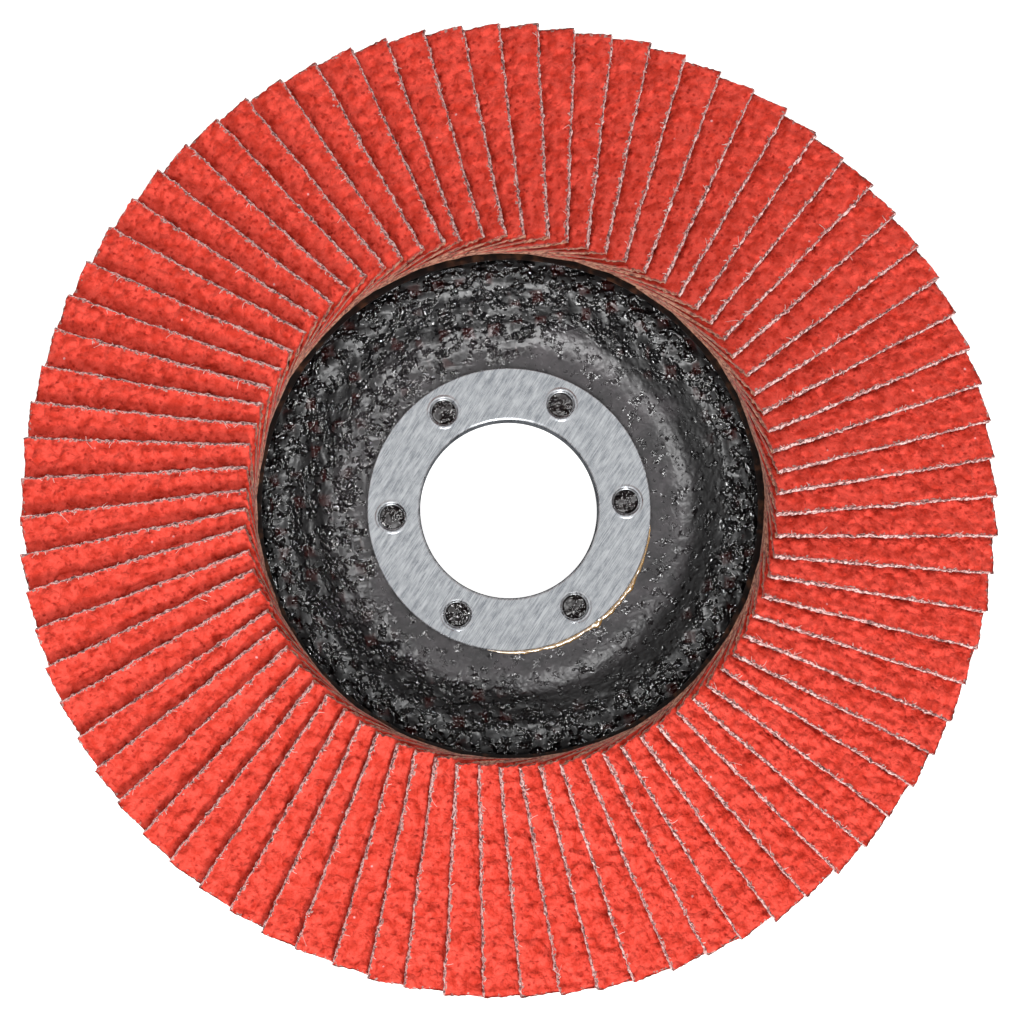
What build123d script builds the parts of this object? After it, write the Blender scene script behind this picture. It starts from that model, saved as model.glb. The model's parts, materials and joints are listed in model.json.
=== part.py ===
from build123d import *
import math
import os

# Abrasive flap disc for an angle grinder, conical face, for a 22.23 mm arbor.
# Units are millimetres. The origin is the bore's centre on the back clamping face,
# and +Z points out of the abrasive working face. Angles are degrees, counter-clockwise from +X.

# Arbor and steel ring
bore_r = 11.115              # standard 22.23 mm arbor bore
ring_sheet = 0.50            # sheet steel, both in the collar and in the flange
flange_width = 6.15          # flange beyond the collar's outer wall
bore_lip_r = 0.45            # rolled lip where the flange turns down into the collar
flange_edge_r = 0.15         # stamped outer edge
collar_end_chamfer = 0.15    # inside edge at the collar's back end
key_hole_r = 1.55            # holes that the moulding resin keys into
key_hole_count = 6
key_hole_start_deg = 3.9
key_hole_edge_r = 0.40       # rims dished by the stamping

# Moulded backing plate: plies of resin-bonded glass cloth, and a paper label behind them
plate_r = 56.0
ply_thickness = 0.60
label_thickness = 0.15
label_margin = 1.385         # from the collar to the label
label_outer_r = 36.0
edge_lift = 0.50             # height of the plate's outer back edge above the clamping face
cone_deg = 10.0              # fall of the outer cone, towards the edge
dish_slope_deg = 40.0        # rise of the dish's wall
hub_land = 1.60              # flat hub between the flange and the dish's wall
dish_fillet_r = 6.40         # on the plate's face, at the foot of the wall
crest_inner_r = 1.50         # on the plate's back, under the crest
collar_clearance = 0.05      # between the steel collar and the plies' bore

# Abrasive flaps and the adhesive under them
flap_count = 80
flaps_per_node = 2
flap_width = 15.0
flap_thickness = 1.00        # cloth with its grain coat, square to the cloth
flap_gap = 0.06              # between one flap and the next
flap_start_deg = 1.50        # turn of the first flap from +X
flap_lead = 4.90             # the leading edge passes this far from the disc's axis
flap_overhang = 3.55         # past the plate's edge
flap_setback = 0.10          # from the crest's end to the flap's inner end
stack_lean_deg = 15.0        # the stacks' lean away from the axis
bed_thickness = 0.35         # adhesive on the plate's cone
bed_clearance = 0.05         # between the adhesive's surface and a flap's trailing edge
bed_edge_margin = 0.50       # bare plate outside the adhesive
bed_setback = 1.00           # bare plate between the crest's end and the adhesive
flap_stations = 4            # sections along a flap
flap_facets = 4              # facets across a flap

# Hardened adhesive squeezed out along part of the flange's edge
bead_width = 0.40
bead_height = 0.35
bead_start_deg = -100.0
bead_arc_deg = 95.0

# Values that follow from the ones above
ply_names = ["back_ply", "lower_core_ply", "upper_core_ply", "face_ply"]
plate_top = label_thickness + ply_thickness * len(ply_names)
ring_top = plate_top + ring_sheet
collar_r = bore_r + ring_sheet
label_inner_r = collar_r + label_margin
ply_bore_r = collar_r + collar_clearance
flange_r = collar_r + flange_width
key_circle_r = (collar_r + flange_r) / 2

cone_tan = math.tan(math.radians(cone_deg))
cone_cos = math.cos(math.radians(cone_deg))
slope_tan = math.tan(math.radians(dish_slope_deg))
half_slope_tan = math.tan(math.radians(dish_slope_deg / 2))
half_crest_tan = math.tan(math.radians((dish_slope_deg + cone_deg) / 2))
crest_face_r = crest_inner_r + plate_top - label_thickness
foot_r = flange_r + hub_land + dish_fillet_r * half_slope_tan


def cone_height(radius, depth):
    """Height of the cone at this radius, on the surface that lies depth in from the back face."""
    return edge_lift + (plate_r - radius) * cone_tan + (depth - label_thickness) / cone_cos


def foot_corner(depth):
    """Corner where the flat hub meets the dish's wall, before its fillet."""
    return (foot_r + (plate_top - depth) * half_slope_tan, depth)


def crest_corner(depth):
    """Corner where the dish's wall meets the cone, before its fillet."""
    foot, height = foot_corner(depth)
    radius = (cone_height(0, depth) - height + foot * slope_tan) / (slope_tan + cone_tan)
    return (radius, cone_height(radius, depth))


def shell_path(depth, inner_r, outer_r):
    """Profile of one of the plate's surfaces, from the hub over the crest to the cone."""
    corners = [
        (inner_r, depth),
        foot_corner(depth),
        crest_corner(depth),
        (outer_r, cone_height(outer_r, depth)),
    ]
    radii = [dish_fillet_r + plate_top - depth, crest_inner_r + depth - label_thickness]
    return corners, radii


def dished_sheet(inner_r, outer_r, back_depth, face_depth):
    """A sheet of even thickness, pressed to the plate's shape."""
    back, back_radii = shell_path(back_depth, inner_r, outer_r)
    face, face_radii = shell_path(face_depth, inner_r, outer_r)
    with BuildPart() as sheet:
        with BuildSketch(Plane.XZ):
            with BuildLine():
                FilletPolyline(*back, radius=back_radii)
                FilletPolyline(*face, radius=face_radii)
                Line(back[0], face[0])
                Line(back[-1], face[-1])
            make_face()
        revolve(axis=Axis.Z)
    return sheet.part


def write_part(part, name):
    """Labels a finished piece and writes it as its own STEP file."""
    part.label = name
    export_step(part, f"parts/{name}.step")


os.makedirs("parts", exist_ok=True)

# Steel ring: a collar that lines the bore, and a flange on the hub's face
with BuildPart() as steel_ring:
    with BuildSketch(Plane.XZ):
        with BuildLine():
            Polyline(
                (bore_r, 0),
                (collar_r, 0),
                (collar_r, plate_top),
                (flange_r, plate_top),
                (flange_r, ring_top),
                (bore_r, ring_top),
                close=True,
            )
        make_face()
    revolve(axis=Axis.Z)
    top_rims = steel_ring.edges().filter_by(GeomType.CIRCLE).group_by(Axis.Z)[-1].sort_by(SortBy.RADIUS)
    fillet(top_rims[0], radius=bore_lip_r)
    fillet(top_rims[-1], radius=flange_edge_r)
    bottom_rims = steel_ring.edges().filter_by(GeomType.CIRCLE).group_by(Axis.Z)[0].sort_by(SortBy.RADIUS)
    chamfer(bottom_rims[0], length=collar_end_chamfer)
    with Locations(Plane.XY.offset(ring_top)):
        with PolarLocations(key_circle_r, key_hole_count, start_angle=key_hole_start_deg):
            Hole(radius=key_hole_r, depth=ring_sheet)
    hole_rims = (
        steel_ring.edges()
        .filter_by(GeomType.CIRCLE)
        .group_by(Axis.Z)[-1]
        .filter_by(lambda rim: rim.radius < 2 * key_hole_r)
    )
    fillet(hole_rims, radius=key_hole_edge_r)
write_part(steel_ring.part, "steel_ring")

# Glass-cloth plies, from the back to the face
for number, name in enumerate(ply_names):
    ply_back = label_thickness + number * ply_thickness
    write_part(dished_sheet(ply_bore_r, plate_r, ply_back, ply_back + ply_thickness), name)

# Paper label, moulded on behind the hub and the dish
write_part(dished_sheet(label_inner_r, label_outer_r, 0, label_thickness), "back_label")

# Adhesive bed on the cone, from just outside the crest almost to the plate's edge
crest_r = crest_corner(plate_top)[0]
crest_end_r = crest_r + crest_face_r * half_crest_tan * cone_cos
bed_face = plate_top + bed_thickness
bed_inner_r = crest_end_r + bed_setback
bed_outer_r = plate_r - bed_edge_margin
with BuildPart() as adhesive_bed:
    with BuildSketch(Plane.XZ):
        with BuildLine():
            Polyline(
                (bed_inner_r, cone_height(bed_inner_r, plate_top)),
                (bed_outer_r, cone_height(bed_outer_r, plate_top)),
                (bed_outer_r, cone_height(bed_outer_r, bed_face)),
                (bed_inner_r, cone_height(bed_inner_r, bed_face)),
                close=True,
            )
        make_face()
    revolve(axis=Axis.Z)
write_part(adhesive_bed.part, "adhesive_bed")

# Adhesive bead against the flange's edge
bead_x = (math.cos(math.radians(bead_start_deg)), math.sin(math.radians(bead_start_deg)), 0)
bead_plane = Plane(origin=(0, 0, 0), x_dir=bead_x, z_dir=(bead_x[1], -bead_x[0], 0))
with BuildPart() as ring_glue_bead:
    with BuildSketch(bead_plane):
        with BuildLine():
            Line((flange_r, plate_top), (flange_r + bead_width, plate_top))
            EllipticalCenterArc(
                (flange_r, plate_top), bead_width, bead_height, start_angle=0, arc_size=90
            )
            Line((flange_r, plate_top + bead_height), (flange_r, plate_top))
        make_face()
    revolve(axis=Axis.Z, revolution_arc=bead_arc_deg)
write_part(ring_glue_bead.part, "ring_glue_bead")

# Abrasive flaps. Each is laid over the next one clockwise, so its height above the cone grows
# evenly with the angle from its trailing edge, and equal rises keep neighbours apart everywhere.
flap_step = 2 * math.pi / flap_count
flap_inner_x = crest_end_r + flap_setback
flap_outer_x = plate_r + flap_overhang
shingle_slope = math.asin((flap_thickness + flap_gap) / (flap_inner_x * flap_step))
rise_per_flap = (flap_thickness + flap_gap) / math.cos(shingle_slope)
rise_per_radian = rise_per_flap / flap_step
flap_rise = flap_thickness / math.cos(shingle_slope)

lean_sin = math.sin(math.radians(stack_lean_deg))
lean_cos = math.cos(math.radians(stack_lean_deg))
bed_rise = (bed_thickness + bed_clearance) / math.cos(math.radians(stack_lean_deg - cone_deg))
trailing_y = flap_width - flap_lead


def flap_outline(x):
    """Section of a flap at this distance along it: a thin strip, stepping up from its trailing edge."""
    lower = []
    for facet in range(flap_facets + 1):
        y = trailing_y - flap_width * facet / flap_facets
        radius = math.hypot(x, y)
        cone_fall = (radius - x) * cone_tan / (lean_cos + lean_sin * cone_tan)
        angle_from_trailing = math.asin(trailing_y / radius) - math.atan2(y, x)
        lower.append((y, bed_rise + rise_per_radian * angle_from_trailing - cone_fall))
    upper = [(y, height + flap_rise) for y, height in reversed(lower)]
    return lower + upper


with BuildPart() as flap:
    for station in range(flap_stations):
        # Stations crowd towards the inner end, where the flap twists most
        station_x = flap_inner_x * (flap_outer_x / flap_inner_x) ** (station / (flap_stations - 1))
        section_plane = Plane(
            origin=(station_x, 0, cone_height(station_x, plate_top)),
            x_dir=(0, 1, 0),
            z_dir=(lean_cos, 0, -lean_sin),
        )
        with BuildSketch(section_plane):
            with BuildLine():
                Polyline(*flap_outline(station_x), close=True)
            make_face()
    loft(ruled=True)

flap_step_deg = 360 / flap_count
for node in range(flap_count // flaps_per_node):
    with BuildPart() as flap_pair:
        with PolarLocations(
            0,
            flaps_per_node,
            start_angle=flap_start_deg + node * flaps_per_node * flap_step_deg,
            angular_range=flaps_per_node * flap_step_deg,
        ):
            add(flap.part)
    write_part(flap_pair.part, f"flap_pair_{node + 1:02d}")
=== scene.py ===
import json
import logging
import math
from dataclasses import dataclass, field
from enum import Enum, IntEnum
from typing import Any, Sequence

import bpy
import numpy as np
from mathutils import Matrix, Vector


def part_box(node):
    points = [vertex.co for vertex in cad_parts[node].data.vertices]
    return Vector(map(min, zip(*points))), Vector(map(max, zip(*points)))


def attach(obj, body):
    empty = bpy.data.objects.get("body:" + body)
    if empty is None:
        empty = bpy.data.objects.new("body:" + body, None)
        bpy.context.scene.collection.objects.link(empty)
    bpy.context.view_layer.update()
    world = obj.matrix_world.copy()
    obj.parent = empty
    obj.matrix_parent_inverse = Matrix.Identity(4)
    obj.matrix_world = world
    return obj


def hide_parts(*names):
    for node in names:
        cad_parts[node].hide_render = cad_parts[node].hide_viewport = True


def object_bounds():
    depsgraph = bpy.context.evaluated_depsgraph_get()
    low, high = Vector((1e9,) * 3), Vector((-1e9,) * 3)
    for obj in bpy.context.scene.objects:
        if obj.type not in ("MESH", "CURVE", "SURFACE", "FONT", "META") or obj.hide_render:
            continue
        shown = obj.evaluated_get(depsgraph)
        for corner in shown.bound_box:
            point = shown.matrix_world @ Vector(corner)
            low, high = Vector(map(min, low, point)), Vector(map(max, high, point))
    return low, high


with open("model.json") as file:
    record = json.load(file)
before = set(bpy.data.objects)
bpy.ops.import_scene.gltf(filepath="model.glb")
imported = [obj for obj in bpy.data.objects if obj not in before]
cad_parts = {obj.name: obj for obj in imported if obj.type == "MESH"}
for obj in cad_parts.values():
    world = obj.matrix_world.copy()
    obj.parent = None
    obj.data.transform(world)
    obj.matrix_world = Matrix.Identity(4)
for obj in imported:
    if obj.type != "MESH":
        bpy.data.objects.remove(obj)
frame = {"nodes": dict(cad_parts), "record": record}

# Looks of a conical abrasive flap disc for an angle grinder, built round its CAD frame.
# Shapes are worked out in millimetres and turned to metres when their mesh is made.

Array = np.ndarray
LOG = logging.getLogger("flap_disc")
CAD_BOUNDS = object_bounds()
MM = 0.001
IMAGE_SIZE = (1024, 1014)


class Slot(str, Enum):
    """Material slots of the record."""

    STEEL = "ring_steel"
    GLUE = "amber_glue"
    BLACK_GLASS = "black_resin_glass"
    BROWN_GLASS = "brown_resin_glass"
    PAPER = "label_paper"
    ADHESIVE = "flap_adhesive"
    CLOTH = "red_abrasive_cloth"


class FlapFace(IntEnum):
    """Finishes of a flap, in the order of its mesh's material slots."""

    COAT = 0
    LEADING_CUT = 1
    INNER_CUT = 2
    OUTER_CUT = 3
    CLOTH_BACK = 4
    LOOSE_YARN = 5


# ---------------------------------------------------------------- colours and nodes


def linear(hex_colour: str) -> tuple[float, float, float, float]:
    """Turns an sRGB hex colour to linear values.

    Args:
        hex_colour: six hex digits, such as "d8402c".
    Returns:
        Linear red, green and blue, and an alpha of 1.
    """
    parts = [int(hex_colour[i : i + 2], 16) / 255 for i in (0, 2, 4)]
    red, green, blue = [p / 12.92 if p <= 0.04045 else ((p + 0.055) / 1.055) ** 2.4 for p in parts]
    return red, green, blue, 1.0


def add_node(tree: Any, kind: str, settings: dict | None = None, links: dict | None = None) -> Any:
    """Adds a node with its settings and its incoming links.

    Args:
        tree: the node tree that gets the node.
        kind: Blender's name for the node type.
        settings: properties by name, and socket values by socket name or number.
        links: output sockets that feed this node, by its socket name or number.
    Returns:
        The new node.
    """
    node = tree.nodes.new(kind)
    for name, value in (settings or {}).items():
        if isinstance(name, str) and hasattr(node, name):
            setattr(node, name, value)
        else:
            node.inputs[name].default_value = value
    for name, source in (links or {}).items():
        tree.links.new(source, node.inputs[name])
    return node


def set_stops(node: Any, stops: Sequence[tuple[float, str]]) -> Any:
    """Sets the stops of a colour ramp.

    Args:
        node: the ramp node.
        stops: positions from 0 to 1 with sRGB hex colours.
    Returns:
        The same node.
    """
    elements = node.color_ramp.elements
    while len(elements) < len(stops):
        elements.new(0.5)
    for element, (position, colour) in zip(elements, stops):
        element.position = position
        element.color = linear(colour)
    return node


# ---------------------------------------------------------------- seeded surface noise


def lattice_value(column: Array, row: Array, seed: int) -> Array:
    """Random value at each whole-number lattice point, by multiplying and folding its bits.

    Args:
        column: whole numbers.
        row: whole numbers.
        seed: picks one of many patterns.
    Returns:
        Values from 0 to 1.
    """
    mixed = (column.astype(np.int64) * 374761393 + row.astype(np.int64) * 668265263 + seed * 974711) & 0xFFFFFFFF
    mixed = ((mixed ^ (mixed >> 13)) * 1274126177) & 0xFFFFFFFF
    return (mixed ^ (mixed >> 16)) / 4294967295.0


def soft_noise(x: Array, y: Array, seed: int) -> Array:
    """Smooth random lumps one unit apart: lattice values blended by 3t^2 - 2t^3.

    Args:
        x: first coordinate, in lumps.
        y: second coordinate, in lumps.
        seed: picks one of many patterns.
    Returns:
        Values from 0 to 1.
    """
    column, row = np.floor(x), np.floor(y)
    across, along = x - column, y - row
    across = across * across * (3 - 2 * across)
    along = along * along * (3 - 2 * along)
    low = lattice_value(column, row, seed) * (1 - across) + lattice_value(column + 1, row, seed) * across
    high = lattice_value(column, row + 1, seed) * (1 - across) + lattice_value(column + 1, row + 1, seed) * across
    return low * (1 - along) + high * along


def layered_noise(x: Array, y: Array, seed: int, octaves: int = 3) -> Array:
    """Sum of soft noises, each twice as fine and half as strong as the one before.

    Args:
        x: first coordinate, in the largest lumps.
        y: second coordinate, in the largest lumps.
        seed: picks one of many patterns.
        octaves: number of noises.
    Returns:
        Values from 0 to 1.
    """
    total, weight = 0.0, 0.0
    for octave in range(octaves):
        share = 0.5**octave
        total = total + share * soft_noise(x * 2**octave + 11.3 * octave, y * 2**octave - 7.9 * octave, seed + octave)
        weight += share
    return total / weight


def ease(value: Array, low: float, high: float) -> Array:
    """Rises smoothly from 0 at low to 1 at high, by 3t^2 - 2t^3.

    Args:
        value: what is compared with low and high.
        low: where the rise starts.
        high: where it ends.
    Returns:
        Values from 0 to 1.
    """
    share = np.clip((value - low) / (high - low), 0, 1)
    return share * share * (3 - 2 * share)


# ---------------------------------------------------------------- surfaces and meshes


@dataclass
class Surface:
    """Points in millimetres, and groups of faces that each have a finish number."""

    points: Array
    groups: list[tuple[Array, int]]
    marks: dict[str, Array] = field(default_factory=dict)

    def volume(self) -> float:
        """Signed volume: a sixth of the sum of the triple products of each face's fan of triangles."""
        total = 0.0
        for faces, _ in self.groups:
            for corner in range(1, faces.shape[1] - 1):
                a, b, c = (self.points[faces[:, i]] for i in (0, corner, corner + 1))
                total += float(np.einsum("ij,ij->", a, np.cross(b, c))) / 6
        return total

    def outward(self) -> "Surface":
        """Turns the faces round if the closed surface is inside out."""
        if self.volume() < 0:
            self.groups = [(faces[:, ::-1], finish) for faces, finish in self.groups]
        return self


def joined(surfaces: Sequence[Surface]) -> Surface:
    """Puts several surfaces in one, renumbering their faces' corners.

    Args:
        surfaces: surfaces that have the same marks.
    Returns:
        One surface with all their points, groups and marks.
    """
    starts = np.cumsum([0] + [len(s.points) for s in surfaces[:-1]])
    groups = [(faces + start, finish) for s, start in zip(surfaces, starts) for faces, finish in s.groups]
    marks = {name: np.concatenate([s.marks[name] for s in surfaces]) for name in surfaces[0].marks}
    return Surface(np.concatenate([s.points for s in surfaces]), groups, marks)


def grid_faces(rows: int, columns: int, closed_rows: bool = False, closed_columns: bool = False) -> Array:
    """Quads over a grid of points that are numbered row by row.

    Args:
        rows: number of rows of points.
        columns: number of points in a row.
        closed_rows: whether the last row joins the first.
        closed_columns: whether each row's end joins its start.
    Returns:
        Corner numbers, four to a face.
    """
    row = np.arange(rows if closed_rows else rows - 1)[:, None]
    column = np.arange(columns if closed_columns else columns - 1)[None, :]
    row_after, column_after = (row + 1) % rows, (column + 1) % columns
    corners = [
        row * columns + column,
        row * columns + column_after,
        row_after * columns + column_after,
        row_after * columns + column,
    ]
    return np.stack(corners, axis=-1).reshape(-1, 4)


def welded(surface: Surface) -> Surface:
    """Merges points that are at the same place, and turns quads that lose a corner to triangles.

    Args:
        surface: a surface with doubled points along its seams and poles.
    Returns:
        The same surface, closed.
    """
    _, first, number = np.unique(np.round(surface.points, 5), axis=0, return_index=True, return_inverse=True)
    groups = []
    for faces, finish in surface.groups:
        merged = number.reshape(-1)[faces]
        doubled = merged == np.roll(merged, -1, axis=1)
        lost = doubled.sum(axis=1)
        groups.append((merged[lost == 0], finish))
        if (lost == 1).any():
            rest = merged[lost == 1][~doubled[lost == 1]]
            groups.append((rest.reshape(-1, faces.shape[1] - 1), finish))
    marks = {name: values[first] for name, values in surface.marks.items()}
    return Surface(surface.points[first], [g for g in groups if len(g[0])], marks)


def revolved(profile: Array, angles: Array, closed_profile: bool, finish: int = 0) -> Surface:
    """Carries a profile of radius and height round the disc's axis.

    Args:
        profile: radius and height of each profile point.
        angles: angles round the axis, a full turn without its last point.
        closed_profile: whether the profile's end joins its start.
        finish: the faces' finish number.
    Returns:
        A surface of len(angles) rows, each with the whole profile.
    """
    radius, height = profile[:, 0][None, :], profile[:, 1][None, :]
    turn = angles[:, None]
    shape = (len(angles), len(profile))
    points = np.stack([radius * np.cos(turn), radius * np.sin(turn), np.broadcast_to(height, shape)], axis=-1)
    faces = grid_faces(len(angles), len(profile), True, closed_profile)
    return Surface(points.reshape(-1, 3), [(faces, finish)])


def rounded_path(corners: Array, radii: Sequence[float], arc_steps: int = 24) -> Array:
    """Path through corners, with an arc of the given radius at each inner corner.

    An arc starts and ends radius times the tangent of half the turn away from its corner.

    Args:
        corners: radius and height of each corner.
        radii: one radius for each inner corner.
        arc_steps: chords in each arc.
    Returns:
        Radius and height along the path.
    """
    path = [corners[0][None, :]]
    for before, corner, after, radius in zip(corners[:-2], corners[1:-1], corners[2:], radii):
        into = (corner - before) / np.linalg.norm(corner - before)
        out = (after - corner) / np.linalg.norm(after - corner)
        turn = math.atan2(into[0] * out[1] - into[1] * out[0], float(into @ out))
        side = np.array([-into[1], into[0]]) * math.copysign(1.0, turn)
        centre = corner - into * radius * math.tan(abs(turn) / 2) + side * radius
        swing = np.linspace(0, turn, arc_steps + 1)[:, None]
        spoke = -side * radius
        turned = np.concatenate(
            [spoke[0] * np.cos(swing) - spoke[1] * np.sin(swing), spoke[0] * np.sin(swing) + spoke[1] * np.cos(swing)],
            axis=1,
        )
        path.append(centre + turned)
    path.append(corners[-1][None, :])
    return np.concatenate(path)


def make_piece(
    name: str,
    surface: Surface,
    materials: Sequence[bpy.types.Material],
    nodes: Sequence[str],
    sharp_deg: float = 50.0,
) -> bpy.types.Object:
    """Makes the mesh and object of a piece, hangs it on the root body, and hides and logs the CAD nodes it stands for.

    Args:
        name: the piece's name.
        surface: its shape in millimetres.
        materials: its finishes, in the order of their numbers.
        nodes: the CAD nodes that the piece stands for.
        sharp_deg: edges that turn by more than this are shaded as creases.
    Returns:
        The new object, at the origin, unturned and unscaled.
    """
    mesh = bpy.data.meshes.new(name)
    corners = np.concatenate([faces.ravel() for faces, _ in surface.groups])
    sizes = np.concatenate([np.full(len(faces), faces.shape[1]) for faces, _ in surface.groups])
    finishes = np.concatenate([np.full(len(faces), finish) for faces, finish in surface.groups])
    mesh.vertices.add(len(surface.points))
    mesh.vertices.foreach_set("co", (surface.points * MM).astype(np.float32).ravel())
    mesh.loops.add(len(corners))
    mesh.loops.foreach_set("vertex_index", corners.astype(np.int32))
    mesh.polygons.add(len(sizes))
    mesh.polygons.foreach_set("loop_start", (np.cumsum(sizes) - sizes).astype(np.int32))
    for material in materials:
        mesh.materials.append(material)
    mesh.polygons.foreach_set("material_index", finishes.astype(np.int32))
    mesh.update(calc_edges=True)
    for mark, values in surface.marks.items():
        kind, key = ("FLOAT_VECTOR", "vector") if values.ndim == 2 else ("FLOAT", "value")
        mesh.attributes.new(mark, kind, "POINT").data.foreach_set(key, values.astype(np.float32).ravel())
    mesh.shade_smooth()
    mesh.set_sharp_from_angle(angle=math.radians(sharp_deg))
    piece = bpy.data.objects.new(name, mesh)
    bpy.context.scene.collection.objects.link(piece)
    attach(piece, "root")
    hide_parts(*nodes)
    triangles = int((sizes - 2).sum())
    LOG.info("%s stands for %s, %d triangles", name, ", ".join(nodes), triangles)
    return piece


def dress_node(node: str, material: bpy.types.Material) -> None:
    """Gives a carried-over CAD node its finish.

    Args:
        node: the CAD node's name.
        material: its finish.
    """
    cad = frame["nodes"][node]
    if not cad.material_slots:
        cad.data.materials.append(material)
    for cad_slot in cad.material_slots:
        cad_slot.material = material
    LOG.info("%s is dressed in %s", node, material.name)


# ---------------------------------------------------------------- finishes


@dataclass(frozen=True)
class Finish:
    """A finish that makes one material."""

    name: str

    def material(self) -> bpy.types.Material:
        """Makes the material: a shader, an output, and whatever paint() adds."""
        material = bpy.data.materials.new(self.name)
        material.use_nodes = True
        tree = material.node_tree
        tree.nodes.clear()
        shader = add_node(tree, "ShaderNodeBsdfPrincipled")
        add_node(tree, "ShaderNodeOutputMaterial", links={"Surface": shader.outputs["BSDF"]})
        self.paint(tree, shader)
        return material

    def paint(self, tree: Any, shader: Any) -> None:
        """Adds the pattern nodes. Each finish has its own."""
        raise NotImplementedError


@dataclass(frozen=True)
class AbrasiveCoat(Finish):
    """Ceramic grain under red size resin, spread wet on cloth: soft lumps, grain dots and a few bright crystals that
    also stand for painted glints.
    """

    bright: str = "ee4e3e"
    deep: str = "ce3624"
    dot: str = "a81c0c"
    crystal_glint: str = "f0b0b0"
    worn_dark: str = "84544c"
    worn_light: str = "dcb8b0"
    lump_mm: float = 1.3
    dome_mm: float = 1.45
    grain_mm: float = 0.30
    dot_spacing_mm: float = 0.85
    crystal_glint_spacing_mm: float = 3.6

    def paint(self, tree: Any, shader: Any) -> None:
        """Lumps tint the red, sparse dots darken it, and grain roughens the surface."""
        place = add_node(tree, "ShaderNodeAttribute", {"attribute_name": "cloth_place"}).outputs["Vector"]
        lumps = add_node(
            tree, "ShaderNodeTexNoise", {"Scale": 1 / self.lump_mm, "Detail": 3.0, "Roughness": 0.55}, {"Vector": place}
        )
        grain = add_node(
            tree, "ShaderNodeTexNoise", {"Scale": 1 / self.grain_mm, "Detail": 2.0, "Roughness": 0.6}, {"Vector": place}
        )
        tint = add_node(
            tree,
            "ShaderNodeMapRange",
            {"From Min": 0.40, "From Max": 0.58},
            {"Value": lumps.outputs["Fac"]},
        )
        red = add_node(
            tree,
            "ShaderNodeMix",
            {"data_type": "RGBA", 6: linear(self.deep), 7: linear(self.bright)},
            {0: tint.outputs[0]},
        )
        shaken = add_node(
            tree,
            "ShaderNodeVectorMath",
            {"operation": "MULTIPLY_ADD", 1: (0.5, 0.5, 0.5)},
            {0: grain.outputs["Color"], 2: place},
        )
        dots = add_node(
            tree,
            "ShaderNodeTexVoronoi",
            {"Scale": 1 / self.dot_spacing_mm, "Randomness": 1.0},
            {"Vector": shaken.outputs[0]},
        )
        dot_mask = add_node(
            tree,
            "ShaderNodeMapRange",
            {"From Min": 0.10, "From Max": 0.34, "To Min": 0.9, "To Max": 0.0},
            {"Value": dots.outputs["Distance"]},
        )
        dotted = add_node(
            tree,
            "ShaderNodeMix",
            {"data_type": "RGBA", 7: linear(self.dot)},
            {0: dot_mask.outputs[0], 6: red.outputs[2]},
        )
        # Pale specks: grain crystals that also serve as painted glints of light on the coat.
        crystal_glints = add_node(
            tree, "ShaderNodeTexVoronoi", {"Scale": 1 / self.crystal_glint_spacing_mm, "Randomness": 1.0}, {"Vector": place}
        )
        crystal_glint_mask = add_node(
            tree,
            "ShaderNodeMapRange",
            {"From Min": 0.02, "From Max": 0.055, "To Min": 1.0, "To Max": 0.0},
            {"Value": crystal_glints.outputs["Distance"]},
        )
        whole = add_node(
            tree,
            "ShaderNodeMix",
            {"data_type": "RGBA", 7: linear(self.crystal_glint)},
            {0: crystal_glint_mask.outputs[0], 6: dotted.outputs[2]},
        )
        edge = add_node(tree, "ShaderNodeAttribute", {"attribute_name": "edge_distance"}).outputs["Fac"]
        chips = add_node(
            tree, "ShaderNodeTexNoise", {"Scale": 1 / 0.55, "Detail": 3.0, "Roughness": 0.6}, {"Vector": place}
        )
        chipped = add_node(
            tree, "ShaderNodeMath", {"operation": "MULTIPLY_ADD", 1: -1.6, 2: 0.8}, {0: chips.outputs["Fac"]}
        )
        reach = add_node(tree, "ShaderNodeMath", {"operation": "ADD"}, {0: edge, 1: chipped.outputs[0]})
        worn = add_node(
            tree,
            "ShaderNodeMapRange",
            {"From Min": -0.10, "From Max": -0.02, "To Min": 1.0, "To Max": 0.0},
            {"Value": reach.outputs[0]},
        )
        near_edge = add_node(
            tree,
            "ShaderNodeMapRange",
            {"From Min": 0.16, "From Max": 0.34, "To Min": 1.0, "To Max": 0.0},
            {"Value": edge},
        )
        worn_share = add_node(
            tree, "ShaderNodeMath", {"operation": "MULTIPLY"}, {0: worn.outputs[0], 1: near_edge.outputs[0]}
        )
        cloth = add_node(
            tree,
            "ShaderNodeMix",
            {"data_type": "RGBA", 6: linear(self.worn_dark), 7: linear(self.worn_light)},
            {0: grain.outputs["Fac"]},
        )
        colour = add_node(
            tree,
            "ShaderNodeMix",
            {"data_type": "RGBA"},
            {0: worn_share.outputs[0], 6: whole.outputs[2], 7: cloth.outputs[2]},
        )
        dome_place = add_node(
            tree,
            "ShaderNodeVectorMath",
            {"operation": "MULTIPLY_ADD", 1: (1.5, 1.5, 1.5)},
            {0: lumps.outputs["Color"], 2: place},
        )
        domes = add_node(
            tree,
            "ShaderNodeTexVoronoi",
            {"feature": "SMOOTH_F1", "Scale": 1 / self.dome_mm, "Smoothness": 0.25, "Randomness": 1.0},
            {"Vector": dome_place.outputs[0]},
        )
        lump_bump = add_node(
            tree,
            "ShaderNodeBump",
            {"invert": True, "Strength": 1.0, "Distance": 0.75 * MM},
            {"Height": domes.outputs["Distance"]},
        )
        grain_bump = add_node(
            tree,
            "ShaderNodeBump",
            {"Strength": 0.7, "Distance": 0.12 * MM},
            {"Height": grain.outputs["Fac"], "Normal": lump_bump.outputs["Normal"]},
        )
        tree.links.new(colour.outputs[2], shader.inputs["Base Color"])
        tree.links.new(grain_bump.outputs["Normal"], shader.inputs["Normal"])
        shader.inputs["Roughness"].default_value = 0.62
        shader.inputs["IOR"].default_value = 1.5
        shader.inputs["Specular IOR Level"].default_value = 0.2


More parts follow.
